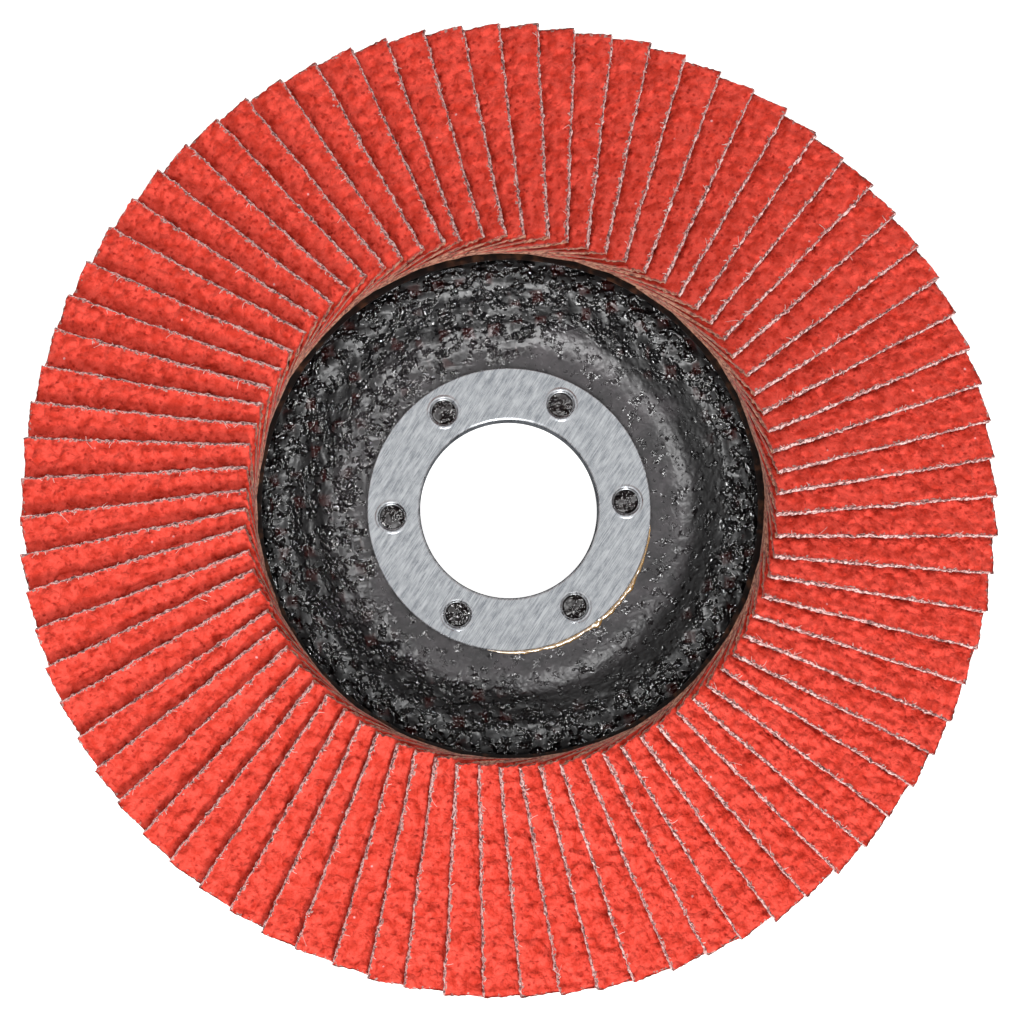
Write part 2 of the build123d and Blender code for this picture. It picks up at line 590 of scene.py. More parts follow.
@dataclass(frozen=True)
class CutCloth(Finish):
    """Cut edge of coated polyester cloth: pale broken yarn ends under a thin line of red coat."""

    palest: str = "ecd4ce"
    pale: str = "cf9c98"
    grey: str = "8e6a68"
    dark: str = "54322e"
    coat: str = "cc3a2c"
    coat_share: float = 0.08
    along_mm: float = 0.42
    across_share: float = 0.6

    def paint(self, tree: Any, shader: Any) -> None:
        """Yarn-sized noise picks among the pale, grey and dark colours, and the top of the cut is red."""
        place = add_node(tree, "ShaderNodeAttribute", {"attribute_name": "cloth_place"}).outputs["Vector"]
        scale = [1 / self.along_mm, 1 / self.along_mm, 1 / self.across_share]
        yarn_place = add_node(
            tree, "ShaderNodeVectorMath", {"operation": "MULTIPLY", 1: tuple(scale)}, {0: place}
        )
        yarn = add_node(
            tree,
            "ShaderNodeTexNoise",
            {"Scale": 1.0, "Detail": 3.0, "Roughness": 0.65},
            {"Vector": yarn_place.outputs[0]},
        )
        colour = add_node(tree, "ShaderNodeValToRGB", links={"Fac": yarn.outputs["Fac"]})
        set_stops(colour, [(0.39, self.dark), (0.45, self.grey), (0.51, self.pale), (0.57, self.palest)])
        parts = add_node(tree, "ShaderNodeSeparateXYZ", links={0: place})
        edge_noise = add_node(
            tree,
            "ShaderNodeMath",
            {"operation": "MULTIPLY_ADD", 1: 1.6, 2: -0.8},
            {0: yarn.outputs["Fac"]},
        )
        layer = add_node(tree, "ShaderNodeMath", {"operation": "ADD"}, {0: parts.outputs["Z"], 1: edge_noise.outputs[0]})
        coat_mask = add_node(
            tree,
            "ShaderNodeMapRange",
            {"From Min": 1 - self.coat_share - 0.05, "From Max": 1 - self.coat_share + 0.05},
            {"Value": layer.outputs[0]},
        )
        mixed = add_node(
            tree,
            "ShaderNodeMix",
            {"data_type": "RGBA", 7: linear(self.coat)},
            {0: coat_mask.outputs[0], 6: colour.outputs["Color"]},
        )
        bump = add_node(
            tree, "ShaderNodeBump", {"Strength": 1.0, "Distance": 0.2 * MM}, {"Height": yarn.outputs["Fac"]}
        )
        tree.links.new(mixed.outputs[2], shader.inputs["Base Color"])
        tree.links.new(bump.outputs["Normal"], shader.inputs["Normal"])
        shader.inputs["Roughness"].default_value = 0.8
        shader.inputs["Specular IOR Level"].default_value = 0.3
        shader.inputs["Sheen Weight"].default_value = 0.15


@dataclass(frozen=True)
class ClothBack(Finish):
    """Back of resin-filled polyester cloth: a close twill of tan yarns."""

    light: str = "b58a64"
    dark: str = "7c5638"
    yarn_mm: float = 0.55

    def paint(self, tree: Any, shader: Any) -> None:
        """Two crossed wave patterns make the weave, and noise stains it."""
        place = add_node(tree, "ShaderNodeAttribute", {"attribute_name": "cloth_place"}).outputs["Vector"]
        weave = add_node(
            tree,
            "ShaderNodeTexWave",
            {"Scale": 0.31 / self.yarn_mm, "bands_direction": "X", "Distortion": 0.6, "Detail": 1.0},
            {"Vector": place},
        )
        cross = add_node(
            tree,
            "ShaderNodeTexWave",
            {"Scale": 0.31 / self.yarn_mm, "bands_direction": "Y", "Distortion": 0.6, "Detail": 1.0},
            {"Vector": place},
        )
        height = add_node(
            tree, "ShaderNodeMath", {"operation": "MULTIPLY"}, {0: weave.outputs["Fac"], 1: cross.outputs["Fac"]}
        )
        stain = add_node(tree, "ShaderNodeTexNoise", {"Scale": 0.5, "Detail": 3.0}, {"Vector": place})
        share = add_node(
            tree, "ShaderNodeMath", {"operation": "MULTIPLY"}, {0: height.outputs[0], 1: stain.outputs["Fac"]}
        )
        colour = add_node(
            tree,
            "ShaderNodeMix",
            {"data_type": "RGBA", 6: linear(self.dark), 7: linear(self.light)},
            {0: share.outputs[0]},
        )
        bump = add_node(tree, "ShaderNodeBump", {"Strength": 0.8, "Distance": 0.1 * MM}, {"Height": height.outputs[0]})
        tree.links.new(colour.outputs[2], shader.inputs["Base Color"])
        tree.links.new(bump.outputs["Normal"], shader.inputs["Normal"])
        shader.inputs["Roughness"].default_value = 0.75


@dataclass(frozen=True)
class LooseYarn(Finish):
    """Broken polyester filaments, off-white and a little pink from the resin."""

    light: str = "f3e2dc"
    dark: str = "c79a92"

    def paint(self, tree: Any, shader: Any) -> None:
        """Noise along the filaments varies their tint."""
        place = add_node(tree, "ShaderNodeAttribute", {"attribute_name": "cloth_place"}).outputs["Vector"]
        noise = add_node(tree, "ShaderNodeTexNoise", {"Scale": 1.3, "Detail": 1.0}, {"Vector": place})
        colour = add_node(
            tree,
            "ShaderNodeMix",
            {"data_type": "RGBA", 6: linear(self.dark), 7: linear(self.light)},
            {0: noise.outputs["Fac"]},
        )
        tree.links.new(colour.outputs[2], shader.inputs["Base Color"])
        shader.inputs["Roughness"].default_value = 0.55
        shader.inputs["Sheen Weight"].default_value = 0.2


@dataclass(frozen=True)
class ResinGlass(Finish):
    """Black phenolic resin moulded over coarse glass weave: glossy, pitted, with filaments that glint."""

    resin: str = "0c0b0c"
    window: str = "2c0c0a"
    # Lighter grey haze on the black resin near the hub: partly a haze of the resin, partly a painted sheen of reflected
    # light.
    haze_and_sheen: str = "474245"
    turn_deg: float = 9.0
    filament_mm: float = 0.55
    filament_run_mm: float = 2.6
    pit_spacing_mm: float = 1.1
    grit_mm: float = 1.1
    crumb_mm: float = 0.62
    patch_mm: float = 1.5

    def paint(self, tree: Any, shader: Any) -> None:
        """Filament streaks run along the yarn on top, pits and grit break the resin, windows show red-brown."""
        place = add_node(tree, "ShaderNodeTexCoord").outputs["Object"]
        turned = add_node(
            tree,
            "ShaderNodeMapping",
            {"Rotation": (0.0, 0.0, -math.radians(self.turn_deg)), "Scale": (1 / MM, 1 / MM, 1 / MM)},
            {"Vector": place},
        )
        window = add_node(tree, "ShaderNodeAttribute", {"attribute_name": "window"}).outputs["Fac"]
        warp = add_node(tree, "ShaderNodeAttribute", {"attribute_name": "warp"}).outputs["Fac"]
        open_weave = add_node(tree, "ShaderNodeAttribute", {"attribute_name": "open_weave"}).outputs["Fac"]
        fine, run = 1 / self.filament_mm, 1 / self.filament_run_mm
        streaks = []
        for stretch in ((run, fine, run), (fine, run, run)):
            stretched = add_node(
                tree, "ShaderNodeVectorMath", {"operation": "MULTIPLY", 1: stretch}, {0: turned.outputs[0]}
            )
            streaks.append(
                add_node(
                    tree,
                    "ShaderNodeTexNoise",
                    {"Scale": 1.0, "Detail": 0.0, "Roughness": 0.5},
                    {"Vector": stretched.outputs[0]},
                ).outputs["Fac"]
            )
        filament = add_node(tree, "ShaderNodeMix", {"data_type": "FLOAT"}, {0: warp, 2: streaks[0], 3: streaks[1]})
        grit = add_node(
            tree,
            "ShaderNodeTexNoise",
            {"Scale": 1 / self.grit_mm, "Detail": 1.0, "Roughness": 0.5},
            {"Vector": turned.outputs[0]},
        )
        pits = add_node(
            tree,
            "ShaderNodeTexNoise",
            {"Scale": 1 / self.pit_spacing_mm, "Detail": 3.0, "Roughness": 0.75},
            {"Vector": turned.outputs[0]},
        )
        crumb_place = add_node(
            tree,
            "ShaderNodeVectorMath",
            {"operation": "MULTIPLY_ADD", 1: (1.2, 1.2, 1.2)},
            {0: grit.outputs["Color"], 2: turned.outputs[0]},
        )
        crumbs = add_node(
            tree,
            "ShaderNodeTexVoronoi",
            {"feature": "SMOOTH_F1", "Scale": 1 / self.crumb_mm, "Smoothness": 0.3, "Randomness": 1.0},
            {"Vector": crumb_place.outputs[0]},
        )
        pit_depth = add_node(
            tree,
            "ShaderNodeMapRange",
            {"From Min": 0.60, "From Max": 0.68, "To Min": 1.0, "To Max": 0.0},
            {"Value": pits.outputs["Fac"]},
        )
        base = add_node(
            tree,
            "ShaderNodeMix",
            {"data_type": "RGBA", 6: linear(self.resin), 7: linear(self.window)},
            {0: window},
        )
        clouds = add_node(
            tree,
            "ShaderNodeTexNoise",
            {"Scale": 0.22, "Detail": 4.0, "Roughness": 0.6},
            {"Vector": turned.outputs[0]},
        )
        cloud_share = add_node(
            tree,
            "ShaderNodeMapRange",
            {"From Min": 0.36, "From Max": 0.64, "To Min": 0.25, "To Max": 1.0},
            {"Value": clouds.outputs["Fac"]},
        )
        # The haze colour lightens the resin near the hub; in part it is a painted sheen of reflected light.
        haze_and_sheen = add_node(tree, "ShaderNodeAttribute", {"attribute_name": "haze_and_sheen"}).outputs["Fac"]
        haze_and_sheen_share = add_node(
            tree, "ShaderNodeMath", {"operation": "MULTIPLY"}, {0: haze_and_sheen, 1: cloud_share.outputs[0]}
        )
        colour = add_node(
            tree,
            "ShaderNodeMix",
            {"data_type": "RGBA", 7: linear(self.haze_and_sheen)},
            {0: haze_and_sheen_share.outputs[0], 6: base.outputs[2]},
        )
        patches = add_node(
            tree,
            "ShaderNodeTexNoise",
            {"Scale": 1 / self.patch_mm, "Detail": 2.0, "Roughness": 0.6},
            {"Vector": turned.outputs[0]},
        )
        patch_share = add_node(
            tree, "ShaderNodeMapRange", {"From Min": 0.45, "From Max": 0.52}, {"Value": patches.outputs["Fac"]}
        )
        busy = add_node(
            tree, "ShaderNodeMath", {"operation": "MULTIPLY"}, {0: open_weave, 1: patch_share.outputs[0]}
        ).outputs[0]
        roughness = add_node(tree, "ShaderNodeMapRange", {"To Min": 0.40, "To Max": 0.08}, {"Value": busy})
        filament_strength = add_node(tree, "ShaderNodeMath", {"operation": "MULTIPLY", 1: 0.9}, {0: busy})
        filament_bump = add_node(
            tree,
            "ShaderNodeBump",
            {"Distance": 0.5 * MM},
            {"Height": filament.outputs[0], "Strength": filament_strength.outputs[0]},
        )
        grit_bump = add_node(
            tree,
            "ShaderNodeBump",
            {"Strength": 0.5, "Distance": 0.25 * MM},
            {"Height": grit.outputs["Fac"], "Normal": filament_bump.outputs["Normal"]},
        )
        crumb_strength = add_node(tree, "ShaderNodeMapRange", {"To Min": 0.08, "To Max": 1.0}, {"Value": busy})
        crumb_bump = add_node(
            tree,
            "ShaderNodeBump",
            {"Distance": 0.5 * MM},
            {
                "Height": crumbs.outputs["Distance"],
                "Strength": crumb_strength.outputs[0],
                "Normal": grit_bump.outputs["Normal"],
            },
        )
        pit_bump = add_node(
            tree,
            "ShaderNodeBump",
            {"Strength": 0.9, "Distance": 0.15 * MM},
            {"Height": pit_depth.outputs[0], "Normal": crumb_bump.outputs["Normal"]},
        )
        tree.links.new(colour.outputs[2], shader.inputs["Base Color"])
        tree.links.new(pit_bump.outputs["Normal"], shader.inputs["Normal"])
        tree.links.new(roughness.outputs[0], shader.inputs["Roughness"])
        shader.inputs["IOR"].default_value = 1.25


@dataclass(frozen=True)
class LaminateEdge(Finish):
    """Brown phenolic laminate seen at its trimmed edge: thin glass layers in resin."""

    resin: str = "33221a"
    glass: str = "6e5a44"
    layer_mm: float = 0.2

    def paint(self, tree: Any, shader: Any) -> None:
        """Bands across the height stand for glass layers, broken by noise."""
        place = add_node(tree, "ShaderNodeTexCoord").outputs["Object"]
        scaled = add_node(
            tree,
            "ShaderNodeVectorMath",
            {"operation": "MULTIPLY", 1: (400.0, 400.0, 1 / (self.layer_mm * MM))},
            {0: place},
        )
        noise = add_node(
            tree, "ShaderNodeTexNoise", {"Scale": 1.0, "Detail": 3.0, "Roughness": 0.6}, {"Vector": scaled.outputs[0]}
        )
        colour = add_node(tree, "ShaderNodeValToRGB", links={"Fac": noise.outputs["Fac"]})
        set_stops(colour, [(0.4, self.resin), (0.65, self.glass)])
        bump = add_node(
            tree, "ShaderNodeBump", {"Strength": 0.5, "Distance": 0.05 * MM}, {"Height": noise.outputs["Fac"]}
        )
        tree.links.new(colour.outputs["Color"], shader.inputs["Base Color"])
        tree.links.new(bump.outputs["Normal"], shader.inputs["Normal"])
        shader.inputs["Roughness"].default_value = 0.5


@dataclass(frozen=True)
class RolledSteel(Finish):
    """Zinc-plated sheet steel, linished one way: silver with fine slanting scratches."""

    light: str = "d2d5d8"
    dark: str = "92969c"
    scratch_turn_deg: float = 57.0
    scratch_mm: float = 0.13
    scratch_run_mm: float = 3.5
    metallic: float = 1.0
    specular: float = 0.5

    def paint(self, tree: Any, shader: Any) -> None:
        """Noise drawn out along the linishing varies the tint, gloss and relief."""
        place = add_node(tree, "ShaderNodeTexCoord").outputs["Object"]
        turned = add_node(
            tree, "ShaderNodeMapping", {"Rotation": (0.0, 0.0, -math.radians(self.scratch_turn_deg))}, {"Vector": place}
        )
        stretched = add_node(
            tree,
            "ShaderNodeVectorMath",
            {"operation": "MULTIPLY", 1: (1 / (self.scratch_run_mm * MM), 1 / (self.scratch_mm * MM), 1 / MM)},
            {0: turned.outputs[0]},
        )
        scratches = add_node(
            tree,
            "ShaderNodeTexNoise",
            {"Scale": 1.0, "Detail": 3.0, "Roughness": 0.7},
            {"Vector": stretched.outputs[0]},
        )
        cloud_place = add_node(
            tree,
            "ShaderNodeVectorMath",
            {"operation": "MULTIPLY", 1: (1 / (1.6 * MM), 1 / (0.7 * MM), 1 / MM)},
            {0: turned.outputs[0]},
        )
        clouds = add_node(
            tree,
            "ShaderNodeTexNoise",
            {"Scale": 1.0, "Detail": 3.0, "Roughness": 0.6},
            {"Vector": cloud_place.outputs[0]},
        )
        both = add_node(
            tree, "ShaderNodeMix", {"data_type": "FLOAT", 0: 0.4}, {2: scratches.outputs["Fac"], 3: clouds.outputs["Fac"]}
        )
        colour = add_node(tree, "ShaderNodeValToRGB", links={"Fac": both.outputs[0]})
        set_stops(colour, [(0.38, self.dark), (0.60, self.light)])
        roughness = add_node(
            tree,
            "ShaderNodeMapRange",
            {"From Min": 0.35, "From Max": 0.65, "To Min": 0.22, "To Max": 0.38},
            {"Value": clouds.outputs["Fac"]},
        )
        bump = add_node(
            tree, "ShaderNodeBump", {"Strength": 0.35, "Distance": 0.02 * MM}, {"Height": scratches.outputs["Fac"]}
        )
        tree.links.new(colour.outputs["Color"], shader.inputs["Base Color"])
        tree.links.new(roughness.outputs[0], shader.inputs["Roughness"])
        tree.links.new(bump.outputs["Normal"], shader.inputs["Normal"])
        shader.inputs["Metallic"].default_value = self.metallic
        shader.inputs["Specular IOR Level"].default_value = self.specular


@dataclass(frozen=True)
class AmberGlue(Finish):
    """Hardened phenolic adhesive, amber and glossy, with dust in it."""

    clear: str = "c8963c"
    cloudy: str = "86602a"
    lump_mm: float = 0.7

    def paint(self, tree: Any, shader: Any) -> None:
        """Noise clouds the amber and dents its skin."""
        place = add_node(tree, "ShaderNodeTexCoord").outputs["Object"]
        noise = add_node(
            tree, "ShaderNodeTexNoise", {"Scale": 1 / (self.lump_mm * MM), "Detail": 2.0}, {"Vector": place}
        )
        colour = add_node(
            tree,
            "ShaderNodeMix",
            {"data_type": "RGBA", 6: linear(self.cloudy), 7: linear(self.clear)},
            {0: noise.outputs["Fac"]},
        )
        bump = add_node(
            tree, "ShaderNodeBump", {"Strength": 0.4, "Distance": 0.05 * MM}, {"Height": noise.outputs["Fac"]}
        )
        tree.links.new(colour.outputs[2], shader.inputs["Base Color"])
        tree.links.new(bump.outputs["Normal"], shader.inputs["Normal"])
        shader.inputs["Roughness"].default_value = 0.25
        shader.inputs["IOR"].default_value = 1.55


@dataclass(frozen=True)
class LabelPaper(Finish):
    """Uncoated label paper moulded to the plate: off-white with fibre flecks and resin stains."""

    paper: str = "d9d3c6"
    stain: str = "b5a68c"
    fibre_mm: float = 0.8

    def paint(self, tree: Any, shader: Any) -> None:
        """Broad noise stains the sheet and fine noise gives its fibres."""
        place = add_node(tree, "ShaderNodeTexCoord").outputs["Object"]
        stains = add_node(tree, "ShaderNodeTexNoise", {"Scale": 1 / (9 * MM), "Detail": 4.0}, {"Vector": place})
        fibres = add_node(
            tree, "ShaderNodeTexNoise", {"Scale": 1 / (self.fibre_mm * MM), "Detail": 4.0}, {"Vector": place}
        )
        share = add_node(
            tree,
            "ShaderNodeMath",
            {"operation": "MULTIPLY"},
            {0: stains.outputs["Fac"], 1: fibres.outputs["Fac"]},
        )
        spread = add_node(
            tree, "ShaderNodeMapRange", {"From Min": 0.15, "From Max": 0.40}, {"Value": share.outputs[0]}
        )
        colour = add_node(
            tree,
            "ShaderNodeMix",
            {"data_type": "RGBA", 6: linear(self.paper), 7: linear(self.stain)},
            {0: spread.outputs[0]},
        )
        bump = add_node(
            tree, "ShaderNodeBump", {"Strength": 0.5, "Distance": 0.03 * MM}, {"Height": fibres.outputs["Fac"]}
        )
        tree.links.new(colour.outputs[2], shader.inputs["Base Color"])
        tree.links.new(bump.outputs["Normal"], shader.inputs["Normal"])
        shader.inputs["Roughness"].default_value = 0.8


@dataclass(frozen=True)
class FlapAdhesive(Finish):
    """Filled epoxy that holds the flaps, brushed on: near black, uneven and half glossy."""

    light: str = "5a3a28"
    dark: str = "120d0b"
    ripple_mm: float = 1.4

    def paint(self, tree: Any, shader: Any) -> None:
        """Ripples from the brush vary the dark brown."""
        place = add_node(tree, "ShaderNodeTexCoord").outputs["Object"]
        noise = add_node(
            tree, "ShaderNodeTexNoise", {"Scale": 1 / (self.ripple_mm * MM), "Detail": 3.0}, {"Vector": place}
        )
        ripple = add_node(
            tree, "ShaderNodeMapRange", {"From Min": 0.5, "From Max": 0.72}, {"Value": noise.outputs["Fac"]}
        )
        colour = add_node(
            tree,
            "ShaderNodeMix",
            {"data_type": "RGBA", 6: linear(self.dark), 7: linear(self.light)},
            {0: ripple.outputs[0]},
        )
        bump = add_node(
            tree, "ShaderNodeBump", {"Strength": 0.6, "Distance": 0.1 * MM}, {"Height": noise.outputs["Fac"]}
        )
        tree.links.new(colour.outputs[2], shader.inputs["Base Color"])
        tree.links.new(bump.outputs["Normal"], shader.inputs["Normal"])
        shader.inputs["Roughness"].default_value = 0.4


@dataclass(frozen=True)
class StudioFloor(Finish):
    """White light-table sheet: matt acrylic lit from below."""

    sheet: str = "f7f7f6"
    shade: str = "efefee"
    glow: float = 0.75

    def paint(self, tree: Any, shader: Any) -> None:
        """Very faint clouding on white, with a steady glow."""
        place = add_node(tree, "ShaderNodeTexCoord").outputs["Object"]
        noise = add_node(tree, "ShaderNodeTexNoise", {"Scale": 4.0, "Detail": 2.0}, {"Vector": place})
        colour = add_node(
            tree,
            "ShaderNodeMix",
            {"data_type": "RGBA", 6: linear(self.shade), 7: linear(self.sheet)},
            {0: noise.outputs["Fac"]},
        )
        tree.links.new(colour.outputs[2], shader.inputs["Base Color"])
        shader.inputs["Roughness"].default_value = 0.9
        shader.inputs["Emission Color"].default_value = linear(self.sheet)
        shader.inputs["Emission Strength"].default_value = self.glow


# ---------------------------------------------------------------- the plate's shape


@dataclass(frozen=True)
class PlateShape:
    """Depressed-centre plate: flat hub, dish wall, crest and outer cone. Sizes in millimetres."""

    plate_r: float
    plate_top: float
    flange_r: float
    label_thickness: float = 0.15
    edge_lift: float = 0.50
    cone_deg: float = 10.0
    dish_slope_deg: float = 40.0
    hub_land: float = 1.60
    dish_fillet_r: float = 6.40
    crest_inner_r: float = 1.50

    def cone_height(self, radius: Array | float, depth: float) -> Array | float:
        """Height of the cone at a radius, on the layer that lies depth above the back face."""
        cone = math.radians(self.cone_deg)
        fall = (self.plate_r - radius) * math.tan(cone)
        return self.edge_lift + fall + (depth - self.label_thickness) / math.cos(cone)

    def path(self, depth: float, inner_r: float, outer_r: float) -> Array:
        """Profile of one layer's face: hub, arc, dish wall, arc and cone.

        Args:
            depth: the layer's height above the back face at the hub.
            inner_r: radius where the profile starts.
            outer_r: radius where it ends.
        Returns:
            Radius and height along the profile.
        """
        slope, cone = math.radians(self.dish_slope_deg), math.radians(self.cone_deg)
        half = math.tan(slope / 2)
        foot = self.flange_r + self.hub_land + self.dish_fillet_r * half + (self.plate_top - depth) * half
        rise = self.cone_height(0, depth) - depth + foot * math.tan(slope)
        crest = rise / (math.tan(slope) + math.tan(cone))
        corners = [
            (inner_r, depth),
            (foot, depth),
            (crest, self.cone_height(crest, depth)),
            (outer_r, self.cone_height(outer_r, depth)),
        ]
        radii = [self.dish_fillet_r + self.plate_top - depth, self.crest_inner_r + depth - self.label_thickness]
        return rounded_path(np.array(corners), radii)


# ---------------------------------------------------------------- backing plate


@dataclass(frozen=True)
class GlassWeave:
    """Plain weave of flat glass rovings, as felt through the resin. Sizes in millimetres."""

    pitch: float = 3.0
    yarn: float = 1.75
    turn_deg: float = 9.0
    wander: float = 0.30

    def read(self, x: Array, y: Array) -> tuple[Array, Array, Array]:
        """Height of the weave at each place.

        A roving's section is a half ellipse, the root of 1 - (2 offset / width)^2. It rises and sinks
        by a cosine along its length, and neighbours rise in turn. The higher roving is the one that shows.

        Args:
            x: first coordinate in millimetres.
            y: second coordinate in millimetres.
        Returns:
            Height from 0 to 1, openness of the windows between rovings, and 1 where the warp is on top.
        """
        turn = math.radians(self.turn_deg)
        drift_x = self.wander * (layered_noise(x / 7, y / 7, 31) - 0.5) * 2
        drift_y = self.wander * (layered_noise(x / 7, y / 7, 57) - 0.5) * 2
        u = ((x + drift_x) * math.cos(turn) + (y + drift_y) * math.sin(turn)) / self.pitch
        v = ((y + drift_y) * math.cos(turn) - (x + drift_x) * math.sin(turn)) / self.pitch
        column, row = np.round(u), np.round(v)
        crown_u = np.sqrt(np.clip(1 - (2 * (u - column) * self.pitch / self.yarn) ** 2, 0, 1))
        crown_v = np.sqrt(np.clip(1 - (2 * (v - row) * self.pitch / self.yarn) ** 2, 0, 1))
        warp = crown_u * (0.62 + 0.38 * np.cos(np.pi * (v + column)))
        weft = crown_v * (0.62 - 0.38 * np.cos(np.pi * (u + row)))
        height = np.maximum(warp, weft)
        window = 1 - ease(height, 0.0, 0.45)
        return height, window, (warp > weft).astype(float)


@dataclass
class BackingPlate:
    """Plies of resin-bonded glass cloth, the label behind them and the flap adhesive on them."""

    shape: PlateShape
    ply_thickness: float
    bore_r: float
    key_circle_r: float
    key_hole_r: float
    key_start_deg: float
    weave: GlassWeave = field(default_factory=GlassWeave)
    relief: float = 0.24
    columns: int = 720
    fine_rows: int = 92
    fine_start_r: float = 17.2
    fine_end_r: float = 31.6
    fill_r: float = 22.0
    fill_lean: float = 5.0
    fill_turn_deg: float = 165.0
    fill_spread: float = 2.6
    key_count: int = 6

    def build(self) -> None:
        """Makes the face and back plies, and dresses the CAD nodes that stay."""
        glass = ResinGlass("black_phenolic_over_glass_weave").material()
        face = self.sheet(self.shape.plate_top - self.ply_thickness, self.shape.plate_top, True)
        buttons = [self.resin_button(number) for number in range(self.key_count)]
        make_piece("ply_face_moulded", joined([face, *buttons]), [glass], ["face_ply"])
        back_depth = self.shape.label_thickness
        back = self.sheet(back_depth, back_depth + self.ply_thickness, False)
        make_piece("ply_back_moulded", back, [glass], ["back_ply"])
        laminate = LaminateEdge("brown_phenolic_laminate_edge").material()
        dress_node("lower_core_ply", laminate)
        dress_node("upper_core_ply", laminate)
        dress_node("back_label", LabelPaper("uncoated_label_paper").material())
        dress_node("adhesive_bed", FlapAdhesive("brushed_flap_adhesive").material())

    def stations(self, path: Array, fine: bool) -> Array:
        """Resamples a profile evenly along its length, closer where the dish shows.

        Args:
            path: radius and height along the profile.
            fine: whether the visible stretch gets close rows.
        Returns:
            Radius and height of the chosen rows.
        """
        length = np.concatenate([[0], np.cumsum(np.linalg.norm(np.diff(path, axis=0), axis=1))])
        start, end = np.interp([self.fine_start_r, self.fine_end_r], path[:, 0], length)
        rows = self.fine_rows if fine else 26
        chosen = np.concatenate(
            [
                np.linspace(0, start, 5)[:-1],
                np.linspace(start, end, rows),
                np.linspace(end, length[-1], 10 if fine else 20)[1:],
            ]
        )
        return np.stack([np.interp(chosen, length, path[:, 0]), np.interp(chosen, length, path[:, 1])], axis=1)

    def sheet(self, low: float, high: float, face_side: bool) -> Surface:
        """One ply, with the weave standing out on its outer side.

        The closed profile runs out along the face and home along the back. Points of the outer side
        move along the profile's normal by the weave's height, less where resin fills the weave.

        Args:
            low: height of the ply's back above the disc's back, at the hub.
            high: height of its face there.
            face_side: whether the relief is on the face or on the back.
        Returns:
            The closed surface with its marks.
        """
        top = self.stations(self.shape.path(high, self.bore_r, self.shape.plate_r), face_side)
        bottom = self.stations(self.shape.path(low, self.bore_r, self.shape.plate_r), not face_side)
        profile = np.concatenate([top, bottom[::-1]])
        angles = np.linspace(0, 2 * np.pi, self.columns, endpoint=False)
        surface = revolved(profile, angles, True)
        tangent = np.gradient(profile, axis=0)
        tangent /= np.linalg.norm(tangent, axis=1)[:, None]
        on_face = np.arange(len(profile)) < len(top)
        relieved = on_face if face_side else ~on_face
        radius = profile[:, 0]
        inner_fade = ease(radius, self.shape.flange_r, self.shape.flange_r + 0.4)
        outer_fade = 1 - ease(radius, 30.9, 31.4) if face_side else 1 - ease(radius, 55.0, 55.8)
        strength = np.where(relieved, inner_fade * outer_fade, 0.0)
        x, y = surface.points[:, 0], surface.points[:, 1]
        height, window, warp = self.weave.read(x, y)
        drift = layered_noise(x / 6.5, y / 6.5, 5)
        around = np.arctan2(y, x)
        pool_r = self.fill_r - self.fill_lean * np.cos(around - math.radians(self.fill_turn_deg))
        past_pool = np.hypot(x, y) + (drift - 0.5) * 8.0 - pool_r
        fill = 1 - ease(past_pool, -self.fill_spread / 2, self.fill_spread / 2)
        # Mask for the lighter haze near the hub, which partly paints a sheen of reflected light.
        haze_and_sheen = 1 - ease(np.hypot(x, y) + (drift - 0.5) * 5.0, 21.3, 24.2)
        lumps = layered_noise(x / 1.1, y / 1.1, 77, 3) - 0.5
        patches = ease(layered_noise(x / 2.2, y / 2.2, 91, 2), 0.46, 0.62)
        open_weave = (1 - fill) if face_side else np.full_like(fill, 0.35)
        specks = 0.6 * ease(layered_noise(x / 0.8, y / 0.8, 133, 2), 0.58, 0.66)
        gritty = np.maximum(open_weave, specks)
        rise = self.relief * (height - 0.75) * open_weave + 0.10 * lumps * (0.55 + open_weave)
        rise = rise * np.tile(strength, self.columns)
        normal_r = np.tile(-tangent[:, 1], self.columns)
        normal_z = np.tile(tangent[:, 0], self.columns)
        turn = np.repeat(angles, len(profile))
        surface.points += np.stack([normal_r * np.cos(turn), normal_r * np.sin(turn), normal_z], axis=1) * rise[:, None]
        shows = np.tile(strength, self.columns)
        surface.marks = {
            "window": window * open_weave * shows * patches,
            "warp": warp,
            "open_weave": gritty * shows,
            "haze_and_sheen": haze_and_sheen * (1 - 0.6 * gritty) if face_side else np.zeros_like(haze_and_sheen),
        }
        return surface.outward()

    def resin_button(self, number: int) -> Surface:
        """Resin that has risen into one of the ring's key holes: a lumpy dome over a flat base.

        Args:
            number: which hole.
        Returns:
            The closed surface with its marks.
        """
        turn = math.radians(self.key_start_deg + 360 / self.key_count * number)
        share = np.linspace(0, 1, 10)
        dome = np.stack([share * (self.key_hole_r - 0.03), 0.26 * np.sqrt(1 - share**2) + 0.05], axis=1)
        base = np.array([[self.key_hole_r - 0.03, -0.2], [0.0, -0.2]])
        button = welded(revolved(np.concatenate([dome, base]), np.linspace(0, 2 * np.pi, 32, endpoint=False), False))
        x, y = button.points[:, 0], button.points[:, 1]
        lumps = layered_noise(x / 0.55 + 13 * number, y / 0.55, 19, 2) - 0.5
        button.points[:, 2] += np.where(button.points[:, 2] > 0, 0.28 * lumps, 0.0)
        centre = (self.key_circle_r * math.cos(turn), self.key_circle_r * math.sin(turn), self.shape.plate_top)
        button.points += np.array(centre)
        count = len(button.points)
        marks = {"window": 0.15, "warp": 0.0, "open_weave": 1.0, "haze_and_sheen": 0.1}
        button.marks = {name: np.full(count, value) for name, value in marks.items()}
        return button.outward()


# ---------------------------------------------------------------- steel ring and glue


